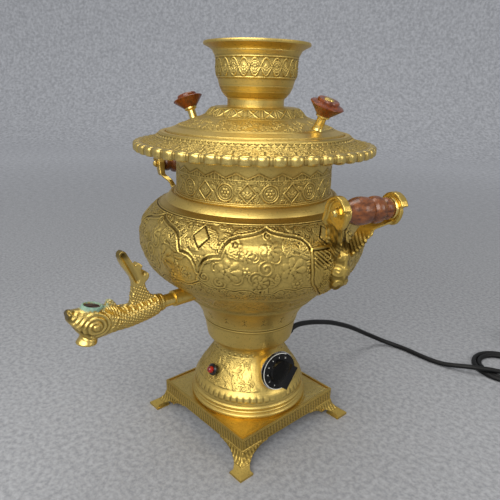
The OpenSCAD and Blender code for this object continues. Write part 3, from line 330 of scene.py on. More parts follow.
NODE_FINISH = {
    LACQUERED: ["tank_cup", "tank_belly", "tank_shoulder", "tank_neck", "pedestal_bell", "lid", "lid_collar",
                "crown", "brim_ring"],
    CAST: ["square_stand", "handle_bracket_right", "handle_bracket_left", "tap_body"],
    POLISHED: ["lid_knob_posts", "lid_knob_caps", "handle_rods", "handle_ferrules", "handle_nuts",
               "tap_pipe"],
    FASTENER: ["bell_bolts", "lid_post_nuts", "bracket_bolts", "bracket_nuts", "tap_shank_nut",
               "element_nut"],
    GRIP_WOOD: ["handle_grip_right", "handle_grip_left"],
    KNOB_WOOD: ["lid_knobs"],
    PLUG_BROWN: ["tap_plug"],
    COPPER: ["heating_element", "thermostat_probe"],
    CHROME: ["knob_bezel"],
    STEEL: ["base_cover", "base_cover_screws", "element_terminals", "thermostat_nut", "thermostat_shaft",
            "pilot_nut"],
    KNOB_BLACK: ["thermostat_knob"],
    BEZEL_BLACK: ["pilot_bezel"],
    RED_LENS: ["pilot_lens"],
    INSULATOR: ["thermostat_body", "terminal_block"],
    CORD_RUBBER: ["element_gasket", "wiring", "cord", "cord_coil"],
    PLUG_RUBBER: ["cord_gland", "plug_relief", "plug_body"],
    NICKEL: ["plug_pins"],
}
CREASE = math.radians(32)       # edges sharper than this stay crisp


def finish_nodes():
    """Gives every piece of the frame its finish and smooth shading."""
    for material, names in NODE_FINISH.items():
        for name in names:
            mesh = NODES[name].data
            mesh.materials.clear()
            mesh.materials.append(material)
            mesh.polygons.foreach_set("use_smooth", [True] * len(mesh.polygons))
            mesh.set_sharp_from_angle(angle=CREASE)


finish_nodes()
MAINS_LEAD.data.materials.append(CORD_RUBBER)


# ---- meshes -------------------------------------------------------------------------------

def build(name, verts, faces, material, body, slot, smooth=True, **stains_and_shade):
    """A mesh object in metres that rides on a body, with how far each stain, or painted shade, covers each
    vertex.
    """
    mesh = bpy.data.meshes.new(name)
    mesh.from_pydata((np.asarray(verts, float) * MM).tolist(), [], faces)
    mesh.validate()
    mesh.materials.append(material)
    for key, cover in stains_and_shade.items():
        values = mesh.attributes.new(key, "FLOAT", "POINT").data
        values.foreach_set("value", np.asarray(cover, np.float32).ravel())
    mesh.polygons.foreach_set("use_smooth", [smooth] * len(mesh.polygons))
    mesh.update()
    made = bpy.data.objects.new(name, mesh)
    bpy.context.scene.collection.objects.link(made)
    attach(made, body)
    return made


def net(rows, columns, closed_u=True, closed_v=False, offset=0):
    """Quads over a grid of rows by columns, as vertex numbers."""
    i = np.arange(rows if closed_v else rows - 1)[:, None]
    j = np.arange(columns if closed_u else columns - 1)[None, :]
    nj, ni = (j + 1) % columns, (i + 1) % rows
    quads = np.stack([i * columns + j, i * columns + nj, ni * columns + nj, ni * columns + j], axis=-1)
    return (quads.reshape(-1, 4) + offset).tolist()


def revolve(name, loop, body, slot, material, columns=288):
    """A closed ring turned from a loop of radii and heights."""
    r, z = np.array(loop)[:, :1], np.array(loop)[:, 1:]
    a = np.arange(columns) / columns * TAU
    verts = np.stack([r * np.cos(a), r * np.sin(a), z + 0 * a], axis=-1).reshape(-1, 3)
    made = build(name, verts, net(len(loop), columns, True, True), material, body, slot,
                 patina=np.zeros(len(verts)))
    made.data.set_sharp_from_angle(angle=CREASE)
    return made


def blurred(field, passes):
    """A field averaged with its neighbours, joined left to right, as often as passes says."""
    for _ in range(passes):
        field = (np.roll(field, 1, 1) + np.roll(field, -1, 1) + 2 * field) / 4
        up = np.vstack([field[:1], field[:-1]])
        down = np.vstack([field[1:], field[-1:]])
        field = (up + down + 2 * field) / 4
    return field


def recesses(height, depth):
    """How dark the lacquer lies: 1 in the bottom of cuts, 0 on the high metal."""
    cut = np.clip((blurred(height, 5) - height) / depth, 0, 1)
    hollow = np.clip((blurred(height, 24) - height) / (depth * 1.5), 0, 1)
    return np.clip(1.15 * cut + 0.6 * hollow, 0, 1)


# ---- ornament, as heights in millimetres over flat tiles ----------------------------------

def ridge(distance, width):
    """1 at no distance, falling off smoothly: the section of every raised or cut line."""
    return np.exp(-(distance / width) ** 2)


def inside(low, value, high, soft):
    """1 between two limits, with soft edges."""
    return 1 / (1 + np.exp(-(value - low) / soft)) / (1 + np.exp((value - high) / soft))


def leaf(field, x, y, cx, cy, turn, length, width, height):
    """A pointed leaf with a cut midrib and side veins, standing over the field."""
    c, s = math.cos(math.radians(turn)), math.sin(math.radians(turn))
    u, v = (x - cx) * c + (y - cy) * s, -(x - cx) * s + (y - cy) * c
    t = np.clip(u / length, 0, 1)
    half = np.maximum(width * np.sin(math.pi * t ** 0.8) ** 0.8, 1e-6)
    body = np.where((u > 0) & (u < length), np.clip(1 - (v / half) ** 2, 0, 1) ** 0.5, 0)
    veins = 0.25 * np.cos(TAU * (u - 0.9 * abs(v)) / 2.6) * (abs(v) > 0.5)
    return np.maximum(field, height * body * (0.85 - 0.55 * ridge(v, 0.5) + veins))


def rosette(field, x, y, cx, cy, radius, petals, height):
    """An open flower: rounded petals round a dished centre with a button."""
    rho, phi = np.hypot(x - cx, y - cy), np.arctan2(y - cy, x - cx)
    lobe = np.abs(np.cos(petals * phi / 2))
    edge = radius * (0.7 + 0.3 * lobe)
    body = np.where(rho < edge, (1 - (rho / edge) ** 4) * (0.35 + 0.65 * lobe), 0)
    body = body * (1 - 0.8 * ridge(rho - 0.36 * radius, 0.1 * radius)) + 0.5 * ridge(rho, 0.2 * radius)
    return np.maximum(field, height * body)


def scroll(field, x, y, cx, cy, radius, hand, turn, height):
    """A tendril rolled up into its own centre."""
    rho = np.hypot(x - cx, y - cy)
    phi = np.arctan2(y - cy, x - cx) * hand + math.radians(turn)
    pitch = radius / 1.9
    line = np.cos(math.pi * (rho / pitch - phi / TAU)) ** 6
    return np.maximum(field, height * line * (rho < radius) * (0.55 + 0.45 * rho / radius))


def foliage(x, y, mask, seed, count, size, height):
    """Leaves, flowers and tendrils scattered evenly over the part of a tile that mask keeps."""
    rng = np.random.default_rng(seed)
    field = np.zeros_like(x)
    taken = []
    for _ in range(count * 30):
        if len(taken) >= count:
            break
        r, c = rng.integers(0, x.shape[0]), rng.integers(0, x.shape[1])
        kind, turn, grow = rng.random(), rng.uniform(0, 360), rng.uniform(0.75, 1.25)
        if mask[r, c] < 0.6:
            continue
        cx, cy = x[r, c], y[r, c]
        if any(math.hypot(cx - a, cy - b) < 0.62 * size for a, b in taken):
            continue
        taken.append((cx, cy))
        if kind < 0.5:
            for k in range(3):
                field = leaf(field, x, y, cx, cy, turn + 48 * (k - 1), size * grow, size * 0.22, height)
        elif kind < 0.72:
            field = rosette(field, x, y, cx, cy, size * 0.42 * grow, 6, height)
        else:
            field = scroll(field, x, y, cx, cy, size * 0.5 * grow, 1 if turn > 180 else -1, turn, height)
    return field * np.clip(mask * 1.4, 0, 1)


def stipple(shape, seed):
    """Punched ground: a fine tooth from the engraver's punch."""
    return blurred(np.random.default_rng(seed).uniform(-1, 1, shape), 1)


# ---- turned brass skins -------------------------------------------------------------------

SKIN_LIFT = 0.08        # every relief starts this far over the frame's metal
SKIN_FACE = 0.35        # plain skin stands this high, so that lines can be cut into it
SKIN_DEPTH = 0.7        # and the relief's own back lies this far inside the metal
SKIN_HEM = 1.2          # over this width the relief sinks to nothing at its ends
BACK_EVERY = 6          # rows of the front to one row of the back


class Skin:
    """A relief laid over a turned shell: rows follow the outline, columns go round the axis."""

    def __init__(self, outline, pitch, columns):
        self.line = even(outline, pitch)
        step = np.gradient(self.line, axis=0)
        step /= np.linalg.norm(step, axis=1)[:, None]
        self.normal = np.stack([step[:, 1], -step[:, 0]], axis=1)
        self.run = np.concatenate([[0], np.cumsum(np.linalg.norm(np.diff(self.line, axis=0), axis=1))])
        self.columns = columns
        self.angle = np.arange(columns) / columns * TAU
        self.height = np.zeros((len(self.line), columns))
        self.face = SKIN_FACE
        self.r, self.z = self.line[:, :1], self.line[:, 1:]

    def at_z(self, z):
        """The run along the outline where it passes the height z, taking the first pass."""
        cross = np.where(np.diff(np.sign(self.line[:, 1] - z)) != 0)[0]
        return self.run[cross[0]] if len(cross) else self.run[np.argmin(abs(self.line[:, 1] - z))]

    def at_r(self, r):
        """The run along the outline nearest to the radius r."""
        return self.run[np.argmin(abs(self.line[:, 0] - r))]

    def tile(self, repeats, low, high):
        """x across one repeat and y along the run, centred, and the rows that they cover."""
        rows = np.where((self.run >= low) & (self.run <= high))[0]
        n = self.columns // repeats
        width = TAU * self.line[rows, 0].max() / repeats
        x = ((np.arange(n) + 0.5) / n - 0.5)[None, :] * width + np.zeros((len(rows), 1))
        y = (self.run[rows] - (low + high) / 2)[:, None] + np.zeros((1, n))
        return x, y, rows, width

    def lay(self, rows, tile, repeats, start_angle=0.0):
        """Repeats a tile round the axis, its first edge at start_angle in degrees."""
        whole = tile[:, (np.arange(self.columns) * repeats / self.columns % 1 * tile.shape[1]).astype(int)]
        self.height[rows] += np.roll(whole, round(start_angle / 360 * self.columns), axis=1)

    def near(self, azimuth, z, radius):
        """1 far from a place on the skin and 0 at it, to keep relief clear of a fitting."""
        a = math.radians(azimuth)
        across = (self.angle[None, :] - a + math.pi) % TAU - math.pi
        far = np.hypot(across * self.r, self.z - z)
        return np.clip((far - radius) / 3, 0, 1)

    def make(self, name, material, body, slot, cut=0.45):
        """The closed mesh: the relief in front, a coarser back inside the metal, and two hems."""
        ends = np.minimum(self.run, self.run[-1] - self.run)[:, None]
        height = SKIN_LIFT + np.clip(self.face + self.height, 0, None) * np.clip(ends / SKIN_HEM, 0, 1)
        outer_r = self.r + self.normal[:, :1] * height
        outer_z = self.z + self.normal[:, 1:] * height
        c, s = np.cos(self.angle), np.sin(self.angle)
        outer = np.stack([outer_r * c, outer_r * s, outer_z + 0 * c], axis=-1).reshape(-1, 3)
        back = np.unique(np.append(np.arange(0, len(self.line), BACK_EVERY), len(self.line) - 1))
        inner_r = self.r[back] - self.normal[back, :1] * SKIN_DEPTH
        inner_z = self.z[back] - self.normal[back, 1:] * SKIN_DEPTH
        inner = np.stack([inner_r * c, inner_r * s, inner_z + 0 * c], axis=-1).reshape(-1, 3)
        n, rows, behind = self.columns, len(self.line), len(back)
        faces = net(rows, n) + [f[::-1] for f in net(behind, n, offset=rows * n)]
        j, k = np.arange(n), (np.arange(n) + 1) % n
        low, high, first, last = rows * n, (rows + behind - 1) * n, 0, (rows - 1) * n
        faces += np.stack([first + k, first + j, low + j, low + k], 1).tolist()
        faces += np.stack([last + j, last + k, high + k, high + j], 1).tolist()
        patina = np.concatenate([recesses(self.height, cut).ravel(), np.zeros(behind * n)])
        return build(name, np.vstack([outer, inner]), faces, material, body, slot, patina=patina)


# ---- outlines read off the frame ----------------------------------------------------------

bpy.context.view_layer.update()
FREE_SIDES = (132, 141, 216, 228, 237)      # azimuths in degrees with no fitting on the shells
OUTSIDE, ABOVE = 400, 700                   # beyond the samovar on every side, and over it


def solid_of(*names):
    """One search tree over CAD nodes, in millimetres."""
    verts, faces = [], []
    for name in names:
        node, base = NODES[name], len(verts)
        verts += [node.matrix_world @ v.co / MM for v in node.data.vertices]
        faces += [[base + i for i in p.vertices] for p in node.data.polygons]
    return BVHTree.FromPolygons(verts, faces)


def side_outline(tree, low, high, step=0.4):
    """Radius over height, from rays that come in level from outside."""
    made = []
    for z in np.arange(low, high + 1e-6, step):
        hits = []
        for a in FREE_SIDES:
            c, s = math.cos(math.radians(a)), math.sin(math.radians(a))
            hit = tree.ray_cast(Vector((OUTSIDE * c, OUTSIDE * s, z)), Vector((-c, -s, 0)))[0]
            if hit is not None:
                hits.append(math.hypot(hit.x, hit.y))
        if hits:
            made.append((max(hits), z))
    return made


def top_outline(tree, near, far, step=0.4, down=True):
    """Height over radius, from rays that come straight down, or up from below."""
    made = []
    for r in np.arange(near, far + 1e-6, step):
        hits = []
        for a in FREE_SIDES:
            c, s = math.cos(math.radians(a)), math.sin(math.radians(a))
            start_at = Vector((r * c, r * s, ABOVE if down else 0))
            hit = tree.ray_cast(start_at, Vector((0, 0, -1 if down else 1)))[0]
            if hit is not None:
                hits.append(hit.z)
        if hits:
            made.append((r, max(hits) if down else min(hits)))
    return made


def level(x, points):
    """The height of a mirrored line at each x."""
    return np.interp(abs(x), [p[0] for p in points], [p[1] for p in points])


def folded(value, period):
    """Distance from the nearest multiple of a period."""
    return abs((value + period / 2) % period - period / 2)


# ---- tank ---------------------------------------------------------------------------------

QUICK = 1
OPEN = math.inf                         # no limit on this side

tank = solid_of("tank_cup", "tank_belly", "tank_shoulder", "tank_neck")

# heights over the table, then lengths along the skin from the bulb's widest place
BULB_FROM, BULB_TO, BULB_WIDEST = 121, 301.6, 251.5
ARCHES_FROM, ARCHES_TO, ARCH_EDGES = -42, 53, (51, -41.5)
LEAVES_FROM, LEAVES_TO = 182, -43.5
CUP_TICKS, CUP_PLAIN, CUP_RINGS = (153, 175), 148, (181, 149.5)
ARCH = [(0, 46.5), (5, 43), (12, 40.5), (20, 38.5), (30, 36.5), (38, 33), (43, 27), (45.5, 20), (47, 15.5),
        (53, 15), (59, 13.5), (64, 10), (67.5, 4), (69.8, -3)]
LOBE = [(0, -27), (9, -26), (15, -21), (24, -20), (33, -23), (43, -20), (52, -22), (60, -20), (70.5, -14)]
ROSES = [(-37, 1, 14), (27, 3, 14.5), (-5, -10, 9), (50, -7, 8), (4, 24, 11), (-20, 17, 8)]


def carve_arches(skin, widest):
    """Pointed cartouches full of roses, leaves in the spandrels and a scalloped border, six times."""
    x, y, rows, width = skin.tile(6, widest + ARCHES_FROM, widest + ARCHES_TO)
    y = y + (ARCHES_FROM + ARCHES_TO) / 2
    arch, above = to_line(abs(x), y, ARCH), y - level(x, ARCH)
    foot, under = to_line(abs(x), y, LOBE), y - level(x, LOBE)
    cartouche = inside(-OPEN, above, -2.2, 0.4) * inside(1.5, under, OPEN, 0.4)
    spandrel = inside(2.2, above, OPEN, 0.4) * inside(-OPEN, y, 50, 0.4)
    border = inside(-OPEN, under, -1.5, 0.4) * inside(-40.5, y, OPEN, 0.4)
    tile = 0.8 * ridge(arch - 2.3, 0.9) - 0.55 * ridge(arch, 0.95)
    tile += 0.55 * ridge(foot - 1.2, 0.7) - 0.4 * ridge(foot, 0.6)
    tile += foliage(x, y, cartouche, seed=11, count=30, size=15, height=0.85)
    for cx, cy, radius in ROSES:
        tile = np.where(np.hypot(x - cx, y - cy) < radius * 1.02, 0.1, tile)
        for k, size in enumerate((1.0, 0.7, 0.42)):
            tile = rosette(tile, x, y, cx, cy, radius * size, 7 - k, 0.9 + 0.15 * k)
    tile += foliage(x, y, spandrel, seed=23, count=46, size=11, height=0.8)
    tile += foliage(x, y, border, seed=37, count=54, size=9.5, height=0.7)
    diamond = abs(abs(x) - width / 2) / 8.5 + abs(y - 33) / 11
    tile = np.where(diamond < 1, 0.7, np.where(diamond < 1.25, -0.3, tile))
    for edge in ARCH_EDGES:
        tile += 0.6 * ridge(abs(y - edge) - 1.3, 0.6) - 0.45 * ridge(y - edge, 0.7)
    skin.lay(rows, tile, 6, start_angle=-66)


def carve_leaf_band(skin, low, high):
    """Two waving stems with leaves between them, edged with double lines."""
    x, y, rows, width = skin.tile(24, low, high)
    mid = (high - low) / 2
    wave = np.cos(TAU * x / width) * 4.5
    tile = 0.6 * ridge(y - mid * 0.45 - wave, 0.7) + 0.6 * ridge(y + mid * 0.45 + wave, 0.7)
    tile += 0.5 * ridge(y - wave * 2, 0.9) + 0.5 * ridge(folded(x - y, 7), 0.6) * inside(-3, y, 3, 0.5)
    for edge in (-mid + 1.2, -mid + 4.2, mid - 1.2, mid - 3.8):
        tile += 0.7 * ridge(y - edge, 0.6)
    tile += foliage(x, y, inside(-mid + 5, y, mid - 5, 0.3), seed=51, count=8, size=7, height=0.45)
    skin.lay(rows, tile, 24, start_angle=4)


def carve_cup(skin):
    """Turned rings, and light strokes of the graver in a row between them."""
    for z in CUP_RINGS:
        at = skin.run - skin.at_z(z)
        skin.height += (0.5 * (ridge(at - 1.7, 0.8) + ridge(at + 1.7, 0.8)) - 0.45 * ridge(at, 0.8))[:, None]
    x, y, rows, _ = skin.tile(18, *map(skin.at_z, CUP_TICKS))
    tick = ridge(to_line(abs(x), y, [(0, 6), (0, -6)]), 0.7)
    for twig in ([(0, 1), (2.6, 4)], [(0, -3), (2.6, -6)]):
        tick += ridge(to_line(abs(x), y, twig), 0.6)
    skin.lay(rows, -0.4 * tick, 18, start_angle=2)
    skin.height[skin.run < skin.at_z(CUP_PLAIN)] *= 0.35


def dress_bulb():
    """Six pointed cartouches of roses round the bulb, over a border of leaves and a banded cup."""
    skin = Skin(side_outline(tank, BULB_FROM, BULB_TO), 0.64 * QUICK, 1260 // QUICK)
    skin.height += 0.1 * (1 + stipple(skin.height.shape, 3))
    widest = skin.at_z(BULB_WIDEST)
    carve_arches(skin, widest)
    carve_leaf_band(skin, skin.at_z(LEAVES_FROM), widest + LEAVES_TO)
    carve_cup(skin)
    return skin.make("tank_bulb_engraving", LACQUERED, "samovar", "brass_tank")


NECK_FROM, NECK_TO, NECK_BAND = 302.2, 356.4, (310, 343)


def dress_neck():
    """Diamonds with a lily and round medallions in turn, over leaves, between zigzag edges."""
    skin = Skin(side_outline(tank, NECK_FROM, NECK_TO), 0.55 * QUICK, 1080 // QUICK)
    skin.height += 0.04 * (1 + stipple(skin.height.shape, 5))
    x, y, rows, width = skin.tile(12, *map(skin.at_z, NECK_BAND))
    y = y + 4
    diamond = abs(x + width / 4) / 9.5 + abs(y + 1) / 10.5
    ring = np.hypot(x - width / 4, y + 1)
    field = inside(-11, y, 11, 0.3)
    ground = field * inside(1.15, diamond, OPEN, 0.03) * inside(10, ring, OPEN, 0.3)
    tile = field * 0.12 * (1 + stipple(x.shape, 9))
    tile += foliage(x, y, ground, seed=61, count=24, size=6.5, height=0.6)
    tile += 0.85 * ridge((diamond - 1) * 7, 0.6) + 0.85 * ridge(ring - 9, 0.7) + 0.45 * ridge(ring - 6.8, 0.5)
    tile = rosette(tile, x, y, width / 4, -1, 5.6, 6, 0.8)
    for turn in (50, 90, 130):
        tile = leaf(tile, x, y, -width / 4, -6, turn, 9, 2, 0.8)
    crest = 13.5 + 5.5 * (1 - folded(x, width / 2) / (width / 4))
    tile += 0.7 * ridge(y - crest, 0.7) + 0.5 * ridge(y - 12, 0.6) + 0.7 * ridge(y + 12.5, 0.7)
    tile += 0.5 * ridge(folded(x, 4), 0.5) * inside(12.5, y, OPEN, 0.2) * inside(0, crest - y, OPEN, 0.2)
    tile += 0.5 * ridge(abs(y + 14.5) - 0.6, 0.5)
    skin.lay(rows, tile, 12, start_angle=6)
    return skin.make("tank_neck_engraving", LACQUERED, "samovar", "brass_tank", 0.4)


def make_shoulder_moulding():
    """The rounded step between the bulb and the neck, with a fine bead over it."""
    foot, top = [(95, 296.6)], [(88.6, 309.2)]
    step = [(104.2, 296.8), (104.1, 298), (103.2, 299.8), (98, 307.3), (97, 308), (95.8, 308), (94.2, 306.7)]
    bead = [(91.6 + 1.5 * math.cos(t), 308.4 + 1.3 * math.sin(t)) for t in np.linspace(-1.0, 2.4, 8)]
    revolve("shoulder_moulding", foot + step + bead + top, "samovar", "brass_tank", LACQUERED)


BELL_FROM, BELL_TO = 55.5, 117
BELL_PETALS, BELL_SCROLLS, BELL_BEADS = (59, 68), (72, 106), (106, 112)
KNOB_Z, KNOB_AZIMUTH, KNOB_CLEAR = 87.5, -10, 27        # the bell is plain round the thermostat's knob


def dress_bell():
    """Scrolled engraving on a punched ground round the bell, with a row of petals under it."""
    skin = Skin(side_outline(solid_of("pedestal_bell"), BELL_FROM, BELL_TO), 0.55 * QUICK, 864 // QUICK)
    x, y, rows, _ = skin.tile(9, *map(skin.at_z, BELL_SCROLLS))
    scrolls = foliage(x, y, np.ones(x.shape), seed=71, count=34, size=8, height=0.6)
    skin.lay(rows, 0.12 * (1 + stipple(x.shape, 13)) + scrolls, 9)
    x, y, rows, width = skin.tile(54, *map(skin.at_z, BELL_PETALS))
    petal = np.clip(1 - (x / (width * 0.4)) ** 2, 0, 1) ** 0.5 * inside(-4.2, y, 1.5, 0.25 + 0.9 * (y > -2))
    skin.lay(rows, 0.75 * petal, 54)
    x, y, rows, _ = skin.tile(36, *map(skin.at_z, BELL_BEADS))
    skin.lay(rows, 0.7 * np.clip(1 - (x / 1.7) ** 2 - (y / 1.7) ** 2, 0, 1) ** 0.5, 36)
    skin.height *= 0.12 + 0.88 * skin.near(KNOB_AZIMUTH, KNOB_Z, KNOB_CLEAR)
    skin.face = 0.1
    return skin.make("bell_engraving", LACQUERED, "samovar", "brass_bell", 0.4)


# ---- brim, lid and crown ------------------------------------------------------------------

BRIM_IN, BRIM_OUT = 87.7, 131.2                         # radii of the brim's own metal
BRIM_SLOPE_IN, BRIM_SLOPE_OUT, BRIM_PLAIN = 102.2, 131.6, 109
RING_WIDE, TOOTH_LONG = 8.5, 5                          # the polished ring, and the triangles at it

brim = solid_of("brim_ring")


def make_brim_plate():
    """The brim's own metal: its top, its underside with the collar, and the inner edge."""
    top = top_outline(brim, BRIM_IN, BRIM_OUT, 0.5)[::-1]
    under = top_outline(brim, BRIM_IN, BRIM_OUT, 0.5, down=False)
    made = revolve("brim_plate", under + top, "samovar", "brass_brim", LACQUERED)
    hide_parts("brim_ring")


def dress_brim():
    """The brim's punched slope, edged with small triangles under the polished ring."""
    skin = Skin(top_outline(brim, BRIM_SLOPE_IN, BRIM_SLOPE_OUT)[::-1], 0.5 * QUICK, 1248 // QUICK)
    skin.height += 0.08 * (1 + stipple(skin.height.shape, 17)) * np.clip(skin.r - BRIM_PLAIN, 0, 1)
    inner = skin.run[-1] - RING_WIDE
    x, y, rows, _ = skin.tile(104, inner - TOOTH_LONG, inner)
    skin.lay(rows, 0.7 * inside(0, 2.4 - abs(x) * 1.25 - y, OPEN, 0.15) * inside(-2.4, y, OPEN, 0.2), 104)
    x, y, rows, _ = skin.tile(26, 4, inner - TOOTH_LONG)
    tile = foliage(x, y, np.ones(x.shape), seed=83, count=10, size=7.5, height=0.55)
    diamond = abs(x) / 5.5 + abs(y) / 5
    tile = np.where(diamond < 1, 0.25, tile) + 0.6 * ridge((diamond - 1) * 4, 0.5)
    tile += 0.4 * ridge(folded(x, 3.2) + folded(y, 3.2) - 0.6, 0.35)
    skin.lay(rows, tile, 26)
    for at in (3, inner + 0.6):
        skin.height += 0.5 * ridge(skin.run - at, 0.6)[:, None]
    return skin.make("brim_engraving", LACQUERED, "samovar", "brass_brim", 0.4)


BEADS = 52
BEAD_ROOT, BEAD_Z, BEAD_TURN = 131.6, 360.2, math.radians(2.3)
ROPE_OUT, ROPE_TALL = 2.2, 3.6          # the edge between beads, then how far each bead adds to it
FAT_OUT, FAT_TALL = 4.4, 1.8
THIN_OUT, THIN_TALL = 2.3, 0.7


def make_beads():
    """The brim's edge: fat square-shouldered beads with small ones pinched between them."""
    columns, around = BEADS * 32, 28
    a = np.arange(columns) / columns * TAU
    across = folded(a, TAU / BEADS) / (TAU / BEADS)
    fat = np.clip(1 - (across / 0.38) ** 2, 0, 1) ** 0.33
    thin = np.where(across > 0.46, 1, np.clip(1 - ((across - 0.46) / 0.1) ** 2, 0, 1) ** 0.5)
    out = ROPE_OUT + FAT_OUT * fat + THIN_OUT * thin * (1 - fat)
    tall = ROPE_TALL + FAT_TALL * fat + THIN_TALL * thin * (1 - fat)
    t = np.arange(around)[:, None] / around * TAU
    c, s = np.cos(t), np.sin(t)
    r = BEAD_ROOT + np.where(c > 0, out, 2.6) * np.sign(c) * abs(c) ** 0.5
    z = BEAD_Z + tall * np.sign(s) * abs(s) ** 0.75
    a = a + BEAD_TURN
    verts = np.stack([r * np.cos(a), r * np.sin(a), z], axis=-1).reshape(-1, 3)
    # painted shade: the metal between the beads, and a little on the small beads, is darkened as if shade lay
    # in the gaps
    dark = np.clip(0.85 - fat - 0.45 * thin, 0, 0.75) * np.ones((around, 1))
    return build("brim_beads", verts, [f[::-1] for f in net(around, columns, True, True)],
                 POLISHED, "samovar", "brass_brim", patina=dark)


# radii on the lid, from its edge inwards
LID_OUT, LID_SLOPE, LID_LATTICE, LID_IN = 100.6, (88, 62.5), (59.2, 48.6), 44.5


def dress_lid():
    """The lid's slope and its raised middle: leaves on a punched ground, then a lattice of crosses."""
    skin = Skin(top_outline(solid_of("lid"), LID_IN, LID_OUT)[::-1], 0.5 * QUICK, 1152 // QUICK)
    low, high = map(skin.at_r, LID_SLOPE)
    slope = (skin.run > low) & (skin.run < high)
    skin.height[slope] += 0.1 * (1 + stipple(skin.height[slope].shape, 19))
    x, y, rows, _ = skin.tile(16, low, high)
    sprays = inside(y.min() + 4, y, y.max() - 2, 0.3)
    skin.lay(rows, foliage(x, y, sprays, seed=97, count=12, size=8, height=0.6), 16)
    x, y, rows, _ = skin.tile(96, low, low + 4)
    skin.lay(rows, 0.6 * inside(0, 1.8 - abs(x) * 1.1 - y, OPEN, 0.15), 96)
    x, y, rows, width = skin.tile(20, *map(skin.at_r, LID_LATTICE))
    top = y.max()
    cross = abs(abs(x) / (width * 0.34) - abs(y) / (top * 0.8))
    frame_in = inside(-width * 0.38, x, width * 0.38, 0.25) * inside(-top * 0.84, y, top * 0.84, 0.25)
    weave = frame_in * (0.75 * ridge(cross * 4.5, 0.8) - 0.3)
    weave += (1 - frame_in) * 0.15 * np.cos(TAU * (x + y) / 2.2)
    weave += 0.4 * ridge(abs(x) - width * 0.41, 0.5) + 0.4 * ridge(abs(y) - top * 0.9, 0.5)
    skin.lay(rows, weave, 20)
    for at in (low - 1.2, high + 0.6):
        skin.height += 0.5 * ridge(skin.run - at, 0.6)[:, None]
    return skin.make("lid_engraving", LACQUERED, "lid", "brass_lid", 0.45)


CROWN_FROM, CROWN_TO, CROWN_BAND, CROWN_RINGS = 413, 461, (433, 455.5), (419, 425)


def dress_crown():
    """A band of crossed leaves round the crown's drum."""
    skin = Skin(side_outline(solid_of("crown"), CROWN_FROM, CROWN_TO), 0.5 * QUICK, 720 // QUICK)
    x, y, rows, width = skin.tile(12, *map(skin.at_z, CROWN_BAND))
    wave = 8.5 * np.cos(TAU * x / width)
    tile = 0.1 * (1 + stipple(x.shape, 23))
    tile += 0.85 * ridge(y - wave, 1.0) + 0.85 * ridge(y + wave, 1.0)
    for side in (-1, 1):
        for k, turn in enumerate((90, 50, 130)):
            tile = leaf(tile, x, y, 0, -6 * side, turn * side, 9 - k, 2.2, 0.8)
            tile = leaf(tile, x, y, side * width / 2, -7, turn, 11 - k, 2.4, 0.8)
    tile += 0.7 * ridge(abs(y) - 10.4, 0.6)
    skin.lay(rows, tile, 12)
    for z in CROWN_RINGS:
        skin.height += 0.3 * ridge(skin.run - skin.at_z(z), 0.7)[:, None]
    return skin.make("crown_engraving", LACQUERED, "crown", "brass_crown", 0.45)


for dress in (dress_bulb, dress_neck, make_shoulder_moulding, dress_bell, make_brim_plate, dress_brim,
              make_beads, dress_lid, dress_crown):
    dress()


# ---- stand --------------------------------------------------------------------------------

STAND_TOP, HALF = 38.5, 79.5            # the top plate's height, and half the width of its skirt
SKIRT_MID, SKIRT_HALF = 29.9, 8.2
PLATE_IN, BELL_FOOT = 3, 77.8           # the plate's edge within the skirt, and the bell's foot on it
LEG_WIDE, LEG_NARROW, LEG_DEEP = 41, 16, 11     # the leg at the skirt and at its ankle, and between
LEG_SWEEP = 2.2                         # power of the curve between the two
SIDES = range(4)


def on_side(x, y, z, side):
    """Places on one side of the stand, given as if that side faced +X."""
    c, s = math.cos(side * TAU / 4), math.sin(side * TAU / 4)
    return np.stack([x * c - y * s, x * s + y * c, z], axis=-1)


def hand_name(hand):
    return "left" if hand < 0 else "right"


def panel(name, u, v, height, place, slot, cut=0.4, material=CAST):
    """A closed relief over a flat face: u and v are its grid in millimetres, place puts it in space."""
    rows, columns = height.shape
    inner = np.zeros((rows, columns))
    inner[1:-1, 1:-1] = 1
    up = SKIN_LIFT + np.clip(height, 0, None) * inner
    front = place(u, v, up).reshape(-1, 3)
    behind = place(u, v, -SKIN_DEPTH + 0 * up).reshape(-1, 3)
    n = rows * columns
    faces = net(rows, columns, False) + [f[::-1] for f in net(rows, columns, False, offset=n)]
    number = np.arange(n).reshape(rows, columns)
    rim = np.concatenate([number[0], number[1:, -1], number[-1, -2::-1], number[-2:0:-1, 0]]).tolist()
    faces += [[q, p, n + p, n + q] for p, q in zip(rim, rim[1:] + rim[:1])]
    dark = np.concatenate([recesses(height, cut).ravel(), np.zeros(n)])
    return build(name, np.vstack([front, behind]), faces, material, "samovar", slot, patina=dark)


def rope(distance, lay, twist):
    """A twisted cord of metal: how far from its middle, and how far along it."""
    return ridge(distance, twist) * (0.55 + 0.45 * np.cos(TAU * lay))


def skirt_relief(u, v):
    """Upright flutes of slanted dashes between a rope and a plain foot."""
    column = folded(u + 0.16 * v, 4.9)
    flute = 0.75 * ridge(column - 2.45, 1.1) * (0.65 + 0.35 * np.cos(TAU * (v + 0.7 * u) / 4.4))
    corner = abs(u) > HALF - LEG_WIDE
    flute *= inside(np.where(corner, -OPEN, -6.6), v, 5.6, 0.35)
    return flute + 0.8 * rope(v - 7, (u + v) / 2.2, 0.8) + 0.5 * ridge(v + 7.8, 0.7) * ~corner


def make_skirt(side):
    pitch = 0.62 * QUICK
    u, v = np.meshgrid(np.arange(-HALF + 0.4, HALF - 0.39, pitch),
                       np.arange(-SKIRT_HALF, SKIRT_HALF + 0.01, pitch))
    panel(f"stand_skirt_{side + 1}", u, v, skirt_relief(u, v),
          lambda u, v, up: on_side(HALF + up, u, SKIRT_MID + v, side), "brass_cast")


